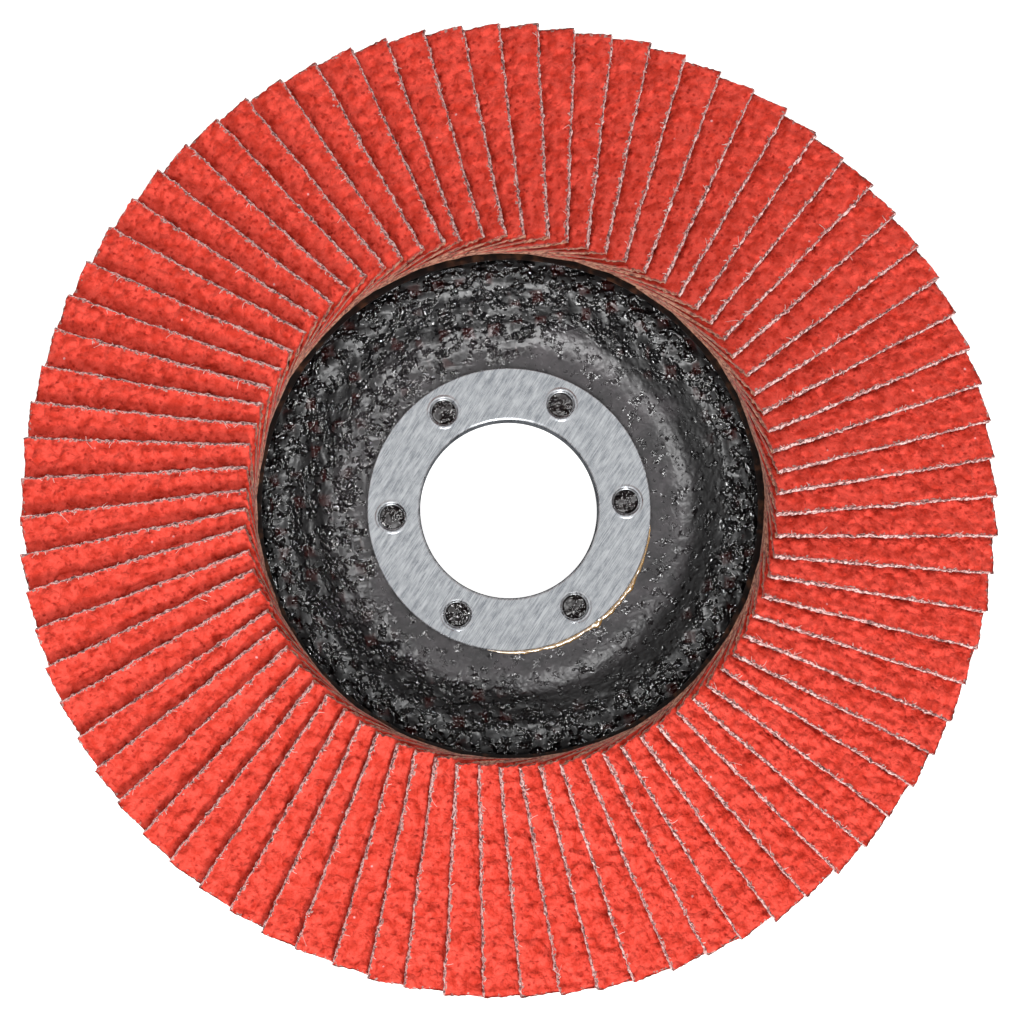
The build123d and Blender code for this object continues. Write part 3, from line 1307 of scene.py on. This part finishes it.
@dataclass
class SteelRing:
    """Pressed steel ring: a flange on the hub and a collar that lines the bore. Sizes in millimetres."""

    bore_r: float
    flange_r: float
    ring_top: float
    plate_top: float
    sheet: float = 0.50
    lip_r: float = 0.60
    edge_r: float = 0.15
    key_hole_r: float = 1.55
    key_count: int = 6
    key_start_deg: float = 3.9
    rim_width: float = 0.70
    rim_rise: float = 0.13
    rim_drop: float = 0.20
    arc_cells: int = 30
    side_cells: int = 14
    lip_cells: int = 5

    @property
    def collar_r(self) -> float:
        """Outer radius of the collar."""
        return self.bore_r + self.sheet

    @property
    def key_circle_r(self) -> float:
        """Radius of the circle that the key holes lie on."""
        return (self.collar_r + self.flange_r) / 2

    def build(self) -> None:
        """Makes the ring from six equal sectors, each with one key hole."""
        sectors = [self.sector(number) for number in range(self.key_count)]
        ring = welded(joined(sectors)).outward()
        bright = RolledSteel("linished_zinc_plated_steel").material()
        # The bore wall gets a dark, non-metallic grey with no specular: painted shade where the collar wall faces away
        # from the light.
        painted_shade_wall = RolledSteel("collar_wall_painted_shade", light="5c5f63", dark="303235", metallic=0.0, specular=0.0).material()
        make_piece("ring_pressed_steel", ring, [bright, painted_shade_wall], ["steel_ring"], sharp_deg=38)

    def border(self, inner_r: float, outer_r: float, middle: float) -> Array:
        """Border of a sector: outer arc, side, inner arc and side, as plan coordinates.

        Args:
            inner_r: radius of the inner arc.
            outer_r: radius of the outer arc.
            middle: angle of the sector's middle line.
        Returns:
            Plan coordinates round the border, without a repeated end.
        """
        half = np.pi / self.key_count
        swing = np.linspace(-half, half, self.arc_cells + 1)
        side = np.linspace(0, 1, self.side_cells + 1)
        radius = np.concatenate(
            [
                np.full(self.arc_cells, outer_r),
                (outer_r + (inner_r - outer_r) * side)[:-1],
                np.full(self.arc_cells, inner_r),
                (inner_r + (outer_r - inner_r) * side)[:-1],
            ]
        )
        angle = np.concatenate(
            [swing[:-1], np.full(self.side_cells, half), swing[::-1][:-1], np.full(self.side_cells, -half)]
        )
        return np.stack([radius * np.cos(middle + angle), radius * np.sin(middle + angle)], axis=1)

    def spokes(self, border: Array, centre: Array, near: Array, far_cells: int) -> Array:
        """Plan points on straight spokes from the hole's rim to the sector's border.

        Args:
            border: plan points round the border.
            centre: the hole's centre.
            near: distances of the first rings from the rim.
            far_cells: cells from the last of those rings to the border.
        Returns:
            Plan points, one row for each ring.
        """
        reach = border - centre
        distance = np.linalg.norm(reach, axis=1)
        heading = reach / distance[:, None]
        last = self.key_hole_r + near[-1]
        share = np.linspace(0, 1, far_cells + 1)[1:, None]
        rings = np.concatenate([np.tile((self.key_hole_r + near)[:, None], (1, len(border))), last + (distance - last) * share])
        return centre + heading[None] * rings[..., None]

    def sector(self, number: int) -> Surface:
        """One sector: dished face, hole wall, underside, edge and collar.

        The punch leaves a soft ridge round the hole: the face rises by one sine over the rim's width, and
        its inner edge rounds down into the hole.

        Args:
            number: which sector.
        Returns:
            The sector's surface, open along its sides.
        """
        middle = math.radians(self.key_start_deg + 360 / self.key_count * number)
        centre = self.key_circle_r * np.array([math.cos(middle), math.sin(middle)])
        face_border = self.border(self.bore_r + self.lip_r, self.flange_r - self.edge_r, middle)
        plan = self.spokes(face_border, centre, np.linspace(0, self.rim_width * 1.1, 16), 8)
        from_rim = np.linalg.norm(plan - centre, axis=2) - self.key_hole_r
        ridge = self.rim_rise * np.sin(np.pi * np.clip(from_rim / self.rim_width, 0, 1)) ** 2
        sag = self.rim_drop * (1 - ease(from_rim, 0.0, 0.4 * self.rim_width)) - ridge
        waves = 0.012 * (layered_noise(plan[..., 0] / 5, plan[..., 1] / 5, 3) - 0.5)
        fade = 1 - np.linspace(0, 1, len(plan))[:, None] ** 8
        face = np.concatenate([plan, (self.ring_top - sag + waves * fade)[..., None]], axis=2)
        wall = face[0].copy()
        wall[:, 2] = self.plate_top
        under_border = self.border(self.collar_r, self.flange_r, middle)
        under_plan = self.spokes(under_border, centre, np.array([0.0]), 2)
        under = np.concatenate([under_plan, np.full(under_plan.shape[:2] + (1,), self.plate_top)], axis=2)
        count = len(face_border)
        parts = [
            Surface(face.reshape(-1, 3), [(grid_faces(len(face), count, False, True), 0)]),
            Surface(np.concatenate([wall, face[0]]), [(grid_faces(2, count, False, True), 0)]),
            Surface(under.reshape(-1, 3), [(grid_faces(len(under), count, False, True)[:, ::-1], 0)]),
            self.strip(self.edge_profile(), middle, False),
            self.strip(self.collar_profile(), middle, True),
        ]
        return joined(parts)

    def edge_profile(self) -> Array:
        """Rounded outer edge, from the face down to the hub."""
        turn = np.linspace(np.pi / 2, 0, 6)
        centre = (self.flange_r - self.edge_r, self.ring_top - self.edge_r)
        arc = np.stack([centre[0] + self.edge_r * np.cos(turn), centre[1] + self.edge_r * np.sin(turn)], axis=1)
        return np.concatenate([arc, [[self.flange_r, self.plate_top]]])

    def collar_profile(self) -> Array:
        """Rolled lip, bore wall, chamfered end and the collar's outer wall up to the hub."""
        turn = np.linspace(np.pi / 2, np.pi, 10)
        centre = (self.bore_r + self.lip_r, self.ring_top - self.lip_r)
        arc = np.stack([centre[0] + self.lip_r * np.cos(turn), centre[1] + self.lip_r * np.sin(turn)], axis=1)
        rest = [
            (self.bore_r, 1.4),
            (self.bore_r, 0.15),
            (self.bore_r + 0.15, 0.0),
            (self.collar_r, 0.0),
            (self.collar_r, self.plate_top),
        ]
        return np.concatenate([arc, rest])

    def strip(self, profile: Array, middle: float, inner: bool) -> Surface:
        """A profile carried along the sector's arc.

        Args:
            profile: radius and height of each profile point.
            middle: angle of the sector's middle line.
            inner: whether the strip faces the axis, which turns its faces round.
        Returns:
            The strip, open along its edges.
        """
        half = np.pi / self.key_count
        angle = middle + np.linspace(-half, half, self.arc_cells + 1)[:, None]
        shape = (len(angle), len(profile))
        height = np.broadcast_to(profile[:, 1], shape)
        points = np.stack([profile[:, 0] * np.cos(angle), profile[:, 0] * np.sin(angle), height], axis=-1)
        faces = grid_faces(*shape)
        if not inner:
            return Surface(points.reshape(-1, 3), [(faces[:, ::-1], 0)])
        # Faces past the rolled lip take the second finish, the bore wall's painted shade.
        step = np.arange(len(faces)) % (len(profile) - 1)
        return Surface(points.reshape(-1, 3), [(faces[step < self.lip_cells], 0), (faces[step >= self.lip_cells], 1)])


@dataclass
class GlueBead:
    """Adhesive squeezed out along part of the flange's edge. Sizes in millimetres."""

    flange_r: float
    plate_top: float
    width: float = 0.85
    height: float = 0.42
    start_deg: float = -99.0
    arc_deg: float = 93.0
    stations: int = 260

    def build(self) -> None:
        """Makes the bead as a quarter ellipse carried along the edge, as wide as noise makes it."""
        share = np.linspace(0, 1, self.stations)
        angle = np.radians(self.start_deg + self.arc_deg * share)
        ends = np.sqrt(np.sin(np.pi * share))
        swell = (0.30 + 0.65 * layered_noise(share * 30, share * 0, 41)) * ends
        turn = np.linspace(0, np.pi / 2, 6)[None, :]
        radius = self.flange_r + self.width * swell[:, None] * np.cos(turn)
        level = self.plate_top + self.height * swell[:, None] * np.sin(turn)
        root = np.full((self.stations, 1), 1.0)
        radius = np.concatenate([radius, root * self.flange_r], axis=1)
        level = np.concatenate([level, root * self.plate_top], axis=1)
        shape = radius.shape
        around = np.broadcast_to(angle[:, None], shape)
        points = np.stack([radius * np.cos(around), radius * np.sin(around), level], axis=-1)
        faces = grid_faces(*shape, closed_columns=True)
        bead = welded(Surface(points.reshape(-1, 3), [(faces, 0)])).outward()
        make_piece("glue_bead_amber", bead, [AmberGlue("hardened_amber_glue").material()], ["ring_glue_bead"])


# ---------------------------------------------------------------- flaps


@dataclass
class FlapStack:
    """Eighty abrasive cloth flaps that overlap like shingles. Sizes in millimetres."""

    shape: PlateShape
    count: int = 80
    per_node: int = 2
    width: float = 15.0
    thickness: float = 1.00
    gap: float = 0.06
    lead: float = 4.90
    inner_x: float = 30.1
    outer_x: float = 59.55
    lean_deg: float = 15.0
    start_deg: float = 1.5
    bed_rise: float = 0.4015
    seed: int = 20
    along_cells: int = 190
    strip_cells: int = 26
    under_cells: int = 3
    layer_cells: int = 4
    strip_margin: float = 0.5
    relief_lumps: float = 0.36
    relief_grain: float = 0.09
    edge_wear: float = 0.10
    yarns: int = 20

    def __post_init__(self) -> None:
        """Works out the shingle's rise and the small differences between flaps."""
        self.step = 2 * math.pi / self.count
        self.trailing_y = self.width - self.lead
        slope = math.asin((self.thickness + self.gap) / (self.inner_x * self.step))
        self.rise_per_radian = (self.thickness + self.gap) / math.cos(slope) / self.step
        self.flap_rise = self.thickness / math.cos(slope)
        random = np.random.default_rng(self.seed)
        self.lead_shift = random.normal(0, 0.10, self.count).clip(-0.22, 0.22)
        self.lead_tilt = random.normal(0, 0.0035, self.count).clip(-0.008, 0.008)
        self.wave_phase = random.uniform(0, 2 * np.pi, (self.count, 3))
        self.inner_shift = random.uniform(-0.10, 0.22, self.count)
        self.outer_shift = random.uniform(-0.34, -0.02, self.count)
        self.outer_tilt = random.normal(0, 0.015, self.count).clip(-0.03, 0.03)
        self.keys, self.key_groups = self.lattice()

    def build(self) -> None:
        """Makes each pair of flaps as one piece."""
        materials = self.finishes()
        for node in range(self.count // self.per_node):
            flaps = [self.flap(self.per_node * node + extra) for extra in range(self.per_node)]
            yarns = [self.loose_yarns(self.per_node * node + extra) for extra in range(self.per_node)]
            name = f"flaps_coated_{node + 1:02d}"
            make_piece(name, joined(flaps + yarns), materials, [f"flap_pair_{node + 1:02d}"], sharp_deg=62)

    def finishes(self) -> list[bpy.types.Material]:
        """Materials in the order of FlapFace."""
        made = {
            FlapFace.COAT: AbrasiveCoat("red_ceramic_grain_coat"),
            FlapFace.LEADING_CUT: CutCloth("cut_cloth_leading_edge"),
            FlapFace.INNER_CUT: CutCloth(
                "cut_cloth_inner_end",
                palest="bc8870",
                pale="a46a52",
                grey="8c4c3a",
                dark="5c2c20",
                coat="b43c30",
                coat_share=0.42,
                along_mm=0.5,
                across_share=0.25,
            ),
            FlapFace.OUTER_CUT: CutCloth(
                "cut_cloth_outer_end",
                palest="a08c80",
                pale="7e665c",
                grey="5e463e",
                dark="3a2824",
                coat="b83428",
                coat_share=0.18,
                along_mm=0.35,
                across_share=0.25,
            ),
            FlapFace.CLOTH_BACK: ClothBack("polyester_cloth_back"),
            FlapFace.LOOSE_YARN: LooseYarn("broken_polyester_yarn"),
        }
        return [made[face].material() for face in FlapFace]

    def lattice(self) -> tuple[Array, list[tuple[Array, int]]]:
        """Numbers a flap's outer lattice points and faces.

        A flap is a box of cells: along it, across it and through its thickness. Only the shell is used.
        Its back and trailing side have long cells, which end in one many-cornered face at each end.

        Returns:
            The lattice place (along, across, layer) of each point, and the faces with their finishes.
        """
        along, across, layers = self.along_cells, self.strip_cells + self.under_cells, self.layer_cells

        def number(i: Array, j: Array, k: Array) -> Array:
            """One number for each lattice place."""
            return (i * (across + 1) + j) * (layers + 1) + k

        def cells(rows: Array, columns: Array, place: Any) -> Array:
            """Quads between chosen rows and columns of the lattice."""
            a, b = np.meshgrid(rows[:-1], columns[:-1], indexing="ij")
            c, d = np.meshgrid(rows[1:], columns[1:], indexing="ij")
            corners = [place(a, b), place(c, b), place(c, d), place(a, d)]
            return np.stack(corners, axis=-1).reshape(-1, 4)

        i_all, j_all, k_all = np.arange(along + 1), np.arange(across + 1), np.arange(layers + 1)
        under_j = j_all[self.strip_cells :]
        wide_j = np.concatenate([[0], under_j])
        inner_i = i_all[1:-1]
        groups = [
            (cells(i_all, j_all, lambda i, j: number(i, j, layers)), FlapFace.COAT),
            (cells(i_all, k_all, lambda i, k: number(i, 0, k)), FlapFace.LEADING_CUT),
            (cells(j_all, k_all, lambda j, k: number(0, j, k))[:, ::-1], FlapFace.INNER_CUT),
            (cells(j_all, k_all, lambda j, k: number(along, j, k)), FlapFace.OUTER_CUT),
            (cells(inner_i, wide_j, lambda i, j: number(i, j, 0))[:, ::-1], FlapFace.CLOTH_BACK),
            (cells(inner_i, np.array([0, layers]), lambda i, k: number(i, across, k))[:, ::-1], FlapFace.CLOTH_BACK),
        ]
        for end, near in ((0, 1), (along, along - 1)):
            strip = [number(end, j, 0) for j in range(self.strip_cells + 1)]
            strip += [number(near, self.strip_cells, 0), number(near, 0, 0)]
            under = cells(np.array([end, near]), under_j, lambda i, j: number(i, j, 0))
            side = [number(end, across, k) for k in range(layers + 1)]
            side += [number(near, across, layers), number(near, across, 0)]
            flip = 1 if end == 0 else -1
            groups.append((np.array([strip])[:, ::flip], FlapFace.CLOTH_BACK))
            groups.append((under[:, ::-flip], FlapFace.CLOTH_BACK))
            groups.append((np.array([side])[:, ::flip], FlapFace.CLOTH_BACK))
        used, inverse = np.unique(np.concatenate([g.ravel() for g, _ in groups]), return_inverse=True)
        numbered, start = [], 0
        for faces, finish in groups:
            numbered.append((inverse[start : start + faces.size].reshape(faces.shape), int(finish)))
            start += faces.size
        places = np.stack([used // ((across + 1) * (layers + 1)), used // (layers + 1) % (across + 1), used % (layers + 1)])
        return places, numbered

    def lead_line(self, flap: int, x: Array) -> Array:
        """Sideways place of a flap's leading edge: a line with a small shift, tilt and three slow waves."""
        phase = self.wave_phase[flap]
        waves = 0.035 * np.sin(x / 2.1 + phase[0]) + 0.025 * np.sin(x / 0.6 + phase[1]) + 0.02 * np.sin(x / 0.23 + phase[2])
        return -self.lead + self.lead_shift[flap] + self.lead_tilt[flap] * (x - 45) + waves

    def height(self, x: Array, y: Array, layer: Array) -> Array:
        """Height in the stack: it rises evenly with the angle from the trailing edge's line, less the cone's fall.

        Every flap has the same height at the same radius and angle, so neighbours never meet.

        Args:
            x: distance along the flap's own radius.
            y: distance across the flap.
            layer: 0 at the cloth's back and 1 at the coat's face.
        Returns:
            Height above the cone, along the stack's lean.
        """
        cone, lean = math.radians(self.shape.cone_deg), math.radians(self.lean_deg)
        radius = np.hypot(x, y)
        fall = (radius - x) * math.tan(cone) / (math.cos(lean) + math.sin(lean) * math.tan(cone))
        angle = np.arcsin(self.trailing_y / radius) - np.arctan2(y, x)
        return self.bed_rise + self.rise_per_radian * angle - fall + layer * self.flap_rise

    def placed(self, flap: int, x: Array, y: Array, height: Array) -> Array:
        """Turns places along, across and above the cone to the disc's frame."""
        lean, turn = math.radians(self.lean_deg), self.step * flap + math.radians(self.start_deg)
        out = x + height * math.sin(lean)
        up = self.shape.cone_height(x, self.shape.plate_top) + height * math.cos(lean)
        points = [out * math.cos(turn) - y * math.sin(turn), out * math.sin(turn) + y * math.cos(turn), up]
        return np.stack(points, axis=-1)

    def flap(self, number: int) -> Surface:
        """One flap with its grain relief, frayed cuts and worn leading edge.

        Args:
            number: which flap, counter-clockwise from +X.
        Returns:
            The closed surface with its marks.
        """
        i, j, k = self.keys
        along, layer = i / self.along_cells, k / self.layer_cells
        x = self.inner_x + self.inner_shift[number]
        x = x + along * (self.outer_x + self.outer_shift[number] - x)
        lead = self.lead_line(number, x)
        over = x * math.tan(self.step) + self.lead_line((number + 1) % self.count, x) / math.cos(self.step)
        strip_end = over + self.strip_margin
        in_strip = np.minimum(j / self.strip_cells, 1.0)
        beyond = np.maximum(j - self.strip_cells, 0) / self.under_cells
        y = lead + in_strip * (strip_end - lead) + beyond * (self.trailing_y - strip_end)
        x = x + along * self.outer_tilt[number] * (y + self.lead)
        slope = np.arctan(self.rise_per_radian / x)
        y = y + (layer - 0.5) * self.thickness * np.sin(slope)
        seed = 100 + 7 * number
        beads = layered_noise(x / 0.42, layer * 2.2, seed, 2)
        tufts = ease(soft_noise(x / 0.7, layer * 1.3, seed + 3), 0.72, 1.0)
        fray = 0.42 * beads**1.5 + 0.24 * tufts
        y = y - np.where(j == 0, fray * (0.35 + 0.65 * np.sin(np.pi * np.clip(layer, 0.05, 0.95))), 0.0)
        end_beads = layered_noise(y / 0.40, layer * 2.5, seed + 5, 2) - 0.5
        x = x - np.where(i == 0, 0.50 * end_beads, 0.0) + np.where(i == self.along_cells, 0.26 * end_beads, 0.0)
        from_lead = in_strip * (strip_end - lead)
        lumps = 0.5 * np.abs(2 * soft_noise(x / 1.15, y / 1.0, seed + 11) - 1)
        lumps = ease(1 - lumps - 0.5 * layered_noise(x / 2.3, y / 1.7, seed + 12, 2), 0.15, 0.85)
        grain = layered_noise(x / 0.5, y / 0.5, seed + 13, 2)
        from_inner, from_outer = along * (self.outer_x - self.inner_x), (1 - along) * (self.outer_x - self.inner_x)
        from_ends = np.minimum(from_inner, from_outer)
        relief = self.relief_lumps * lumps + self.relief_grain * grain
        relief = relief + self.edge_wear * (np.exp(-((from_lead / 0.30) ** 2)) + np.exp(-((from_ends / 0.35) ** 2)))
        relief = np.where(k == self.layer_cells, relief * (1 - beyond), 0.0)
        points = self.placed(number, x, y, self.height(x, y, layer) - relief)
        edge = np.minimum(np.minimum(from_lead + 4.0 * beyond, 3.0 * from_inner), 0.5 * from_outer)
        marks = {"cloth_place": np.stack([x + 61.0 * number, y, layer], axis=1), "edge_distance": edge}
        return Surface(points, self.key_groups, marks).outward()

    def loose_yarns(self, number: int) -> Surface:
        """Short curled filaments along the leading edge and the outer end.

        A filament's middle line leaves the edge and bends by a sine and a square of the way along it.
        Three points round that line, thinner towards the tip, make its skin.

        Args:
            number: which flap.
        Returns:
            The filaments' closed skins with their marks.
        """
        random = np.random.default_rng(self.seed * 1000 + number)
        steps, sides, total = 7, 3, self.yarns
        share = np.linspace(0, 1, steps)[None, :]
        root_x = random.uniform(self.inner_x + 1.0, self.outer_x - 0.7, total)[:, None]
        length = random.gamma(1.3, 0.26, total).clip(0.12, 1.6)[:, None]
        heading = random.uniform(-1.2, 1.2, total)[:, None]
        curl = random.uniform(-0.9, 0.9, total)[:, None]
        layer = random.uniform(0.3, 0.95, total)[:, None]
        lead = self.lead_line(number, root_x)
        slope = np.arctan(self.rise_per_radian / root_x)
        inward = np.where((random.uniform(0, 1, total) < 0.5) | (root_x[:, 0] < 40), 1.0, -0.6)[:, None]
        x = root_x + length * (np.sin(heading) * share + 0.45 * curl * share**2)
        y = lead + (layer - 0.5) * self.thickness * np.sin(slope) - 0.05
        y = y + inward * length * (0.5 * share + 0.3 * np.cos(heading) * share**2)
        lift = 0.02 + 0.08 * length * np.sin(np.pi * 0.8 * share)
        above = self.height(x, y, np.ones_like(x)) + lift
        inside = self.height(np.broadcast_to(root_x, x.shape), y, np.broadcast_to(layer, x.shape))
        blend = ease(share, 0.0, 0.35)
        height = inside * (1 - blend) + above * blend
        thick = (0.075 - 0.022 * length) * (1 - 0.45 * share) * np.ones_like(x)
        turn = np.arange(sides) * 2 * np.pi / sides
        ring_x = x[..., None] + thick[..., None] * np.cos(turn)
        ring_h = height[..., None] + thick[..., None] * np.sin(turn)
        ring_y = np.broadcast_to(y[..., None], ring_x.shape)
        points = self.placed(number, ring_x, ring_y, ring_h).reshape(-1, 3)
        tube = grid_faces(steps, sides, False, True)
        starts = (np.arange(total) * steps * sides)[:, None, None]
        skin = (tube[None] + starts).reshape(-1, 4)
        caps = np.array([[0, 2, 1], [sides * (steps - 1), sides * (steps - 1) + 1, sides * (steps - 1) + 2]])
        caps = (caps[None] + starts).reshape(-1, 3)
        yarn = int(FlapFace.LOOSE_YARN)
        place = np.stack([ring_x + 61.0 * number, ring_y, np.full_like(ring_x, 0.5)], axis=-1).reshape(-1, 3)
        marks = {"cloth_place": place, "edge_distance": np.full(len(points), 9.0)}
        return Surface(points, [(skin, yarn), (caps, yarn)], marks).outward()


# ---------------------------------------------------------------- studio


def heading(turn_deg: float, lift_deg: float) -> Vector:
    """Unit vector at a turn from +X and a lift above the floor."""
    turn, lift = math.radians(turn_deg), math.radians(lift_deg)
    return Vector((math.cos(turn) * math.cos(lift), math.sin(turn) * math.cos(lift), math.sin(lift)))


@dataclass
class Studio:
    """Floor, lights and camera."""

    camera_offset: tuple[float, float, float] = (-0.030, -0.080, 1.0)
    camera_distance: float = 0.550
    focal_mm: float = 155.9
    sensor_mm: float = 36.0
    aim: tuple[float, float, float] = (0.00021, -0.00012, 0.0080)
    key_power: float = 5.6
    key_turn_deg: float = -82.0
    key_lift_deg: float = 30.0
    key_distance: float = 0.9
    key_size: float = 0.22
    card_turns_deg: tuple[float, ...] = (30.0, 110.0, 190.0, 245.0, 280.0, 325.0)
    card_lift_deg: float = 48.0
    card_distance: float = 0.8
    card_size: float = 0.10
    card_power: float = 13.0
    sheen_turn_deg: float = 268.0
    sheen_lift_deg: float = 52.0
    sheen_size: float = 0.35
    sheen_power: float = 5.5
    world_level: float = 0.90

    def build(self) -> None:
        """Sets the floor, the lights and the camera."""
        self.floor()
        self.lights()
        self.camera()
        bpy.context.scene.view_settings.view_transform = "Standard"

    def floor(self) -> None:
        """Lays a wide pale sheet just under the disc."""
        level = CAD_BOUNDS[0].z - 0.00002
        reach = 3.0
        mesh = bpy.data.meshes.new("studio_floor")
        mesh.from_pydata(
            [(-reach, -reach, level), (reach, -reach, level), (reach, reach, level), (-reach, reach, level)],
            [],
            [(0, 1, 2, 3)],
        )
        mesh.materials.append(StudioFloor("white_light_table").material())
        floor = bpy.data.objects.new("studio_floor", mesh)
        bpy.context.scene.collection.objects.link(floor)

    def area_light(self, name: str, place: Vector, size: float, power: float) -> bpy.types.Object:
        """Hangs a square softbox that faces the disc.

        Args:
            name: the light's name.
            place: where it hangs.
            size: its side in metres.
            power: its power in watts.
        Returns:
            The lamp.
        """
        light = bpy.data.lights.new(name, "AREA")
        light.shape = "SQUARE"
        light.size = size
        light.energy = power
        lamp = bpy.data.objects.new(name, light)
        lamp.location = place
        lamp.rotation_mode = "QUATERNION"
        lamp.rotation_quaternion = (-place).to_track_quat("-Z", "Y")
        bpy.context.scene.collection.objects.link(lamp)
        return lamp

    def lights(self) -> None:
        """A key softbox from the near side, cards that only the resin and the glue see, and even fill."""
        place = heading(self.key_turn_deg, self.key_lift_deg) * self.key_distance
        self.area_light("key_softbox", place, self.key_size, self.key_power)
        glossy = bpy.data.collections.new("glossy_pieces")
        for name in ("ply_face_moulded", "glue_bead_amber"):
            glossy.objects.link(bpy.data.objects[name])
        cards = [(turn_deg, self.card_lift_deg, self.card_size, self.card_power) for turn_deg in self.card_turns_deg]
        cards.append((self.sheen_turn_deg, self.sheen_lift_deg, self.sheen_size, self.sheen_power))
        for number, (turn_deg, lift_deg, size, power) in enumerate(cards):
            card = self.area_light(f"card_{number}", heading(turn_deg, lift_deg) * self.card_distance, size, power)
            card.light_linking.receiver_collection = glossy
            card.visible_diffuse = False
        world = bpy.data.worlds.new("studio_fill")
        bpy.context.scene.world = world
        world.use_nodes = True
        tree = world.node_tree
        tree.nodes.clear()
        background = add_node(
            tree, "ShaderNodeBackground", {"Color": linear("ffffff"), "Strength": self.world_level}
        )
        add_node(tree, "ShaderNodeOutputWorld", links={"Surface": background.outputs[0]})

    def camera(self) -> None:
        """Points the camera almost straight down at the working face."""
        backward = Vector(self.camera_offset).normalized()
        data = bpy.data.cameras.new("camera")
        data.sensor_width = self.sensor_mm
        data.lens = self.focal_mm
        data.clip_start = 0.01
        data.clip_end = 20.0
        camera = bpy.data.objects.new("camera", data)
        camera.location = Vector(self.aim) + backward * self.camera_distance
        right = Vector((0.0, 1.0, 0.0)).cross(backward).normalized()
        upward = backward.cross(right)
        camera.rotation_mode = "QUATERNION"
        camera.rotation_quaternion = Matrix((right, upward, backward)).transposed().to_quaternion()
        bpy.context.scene.collection.objects.link(camera)
        bpy.context.scene.camera = camera


# ---------------------------------------------------------------- main


def main() -> None:
    """Builds the disc from the frame's sizes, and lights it."""
    logging.basicConfig(level=logging.INFO, format="%(name)s: %(message)s")
    ring_low, ring_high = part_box("steel_ring")
    ply_low, ply_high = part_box("back_ply")
    label_low, label_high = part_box("back_label")
    mounts = {mount["name"]: mount for mount in frame["record"]["mounts"]}
    LOG.info("mounts: %s", sorted(mounts))
    flange_r = ring_high.x / MM
    sheet = 0.50
    ring_top = ring_high.z / MM
    plate_top = ring_top - sheet
    plate = PlateShape(plate_r=ply_high.x / MM, plate_top=plate_top, flange_r=flange_r)
    ring = SteelRing(bore_r=11.115, flange_r=flange_r, ring_top=ring_top, plate_top=plate_top)
    ring.build()
    GlueBead(flange_r=flange_r, plate_top=plate_top).build()
    BackingPlate(
        shape=plate,
        ply_thickness=0.60,
        bore_r=ring.collar_r + 0.05,
        key_circle_r=ring.key_circle_r,
        key_hole_r=ring.key_hole_r,
        key_start_deg=ring.key_start_deg,
    ).build()
    FlapStack(shape=plate).build()
    Studio().build()


if __name__ == "__main__":
    main()
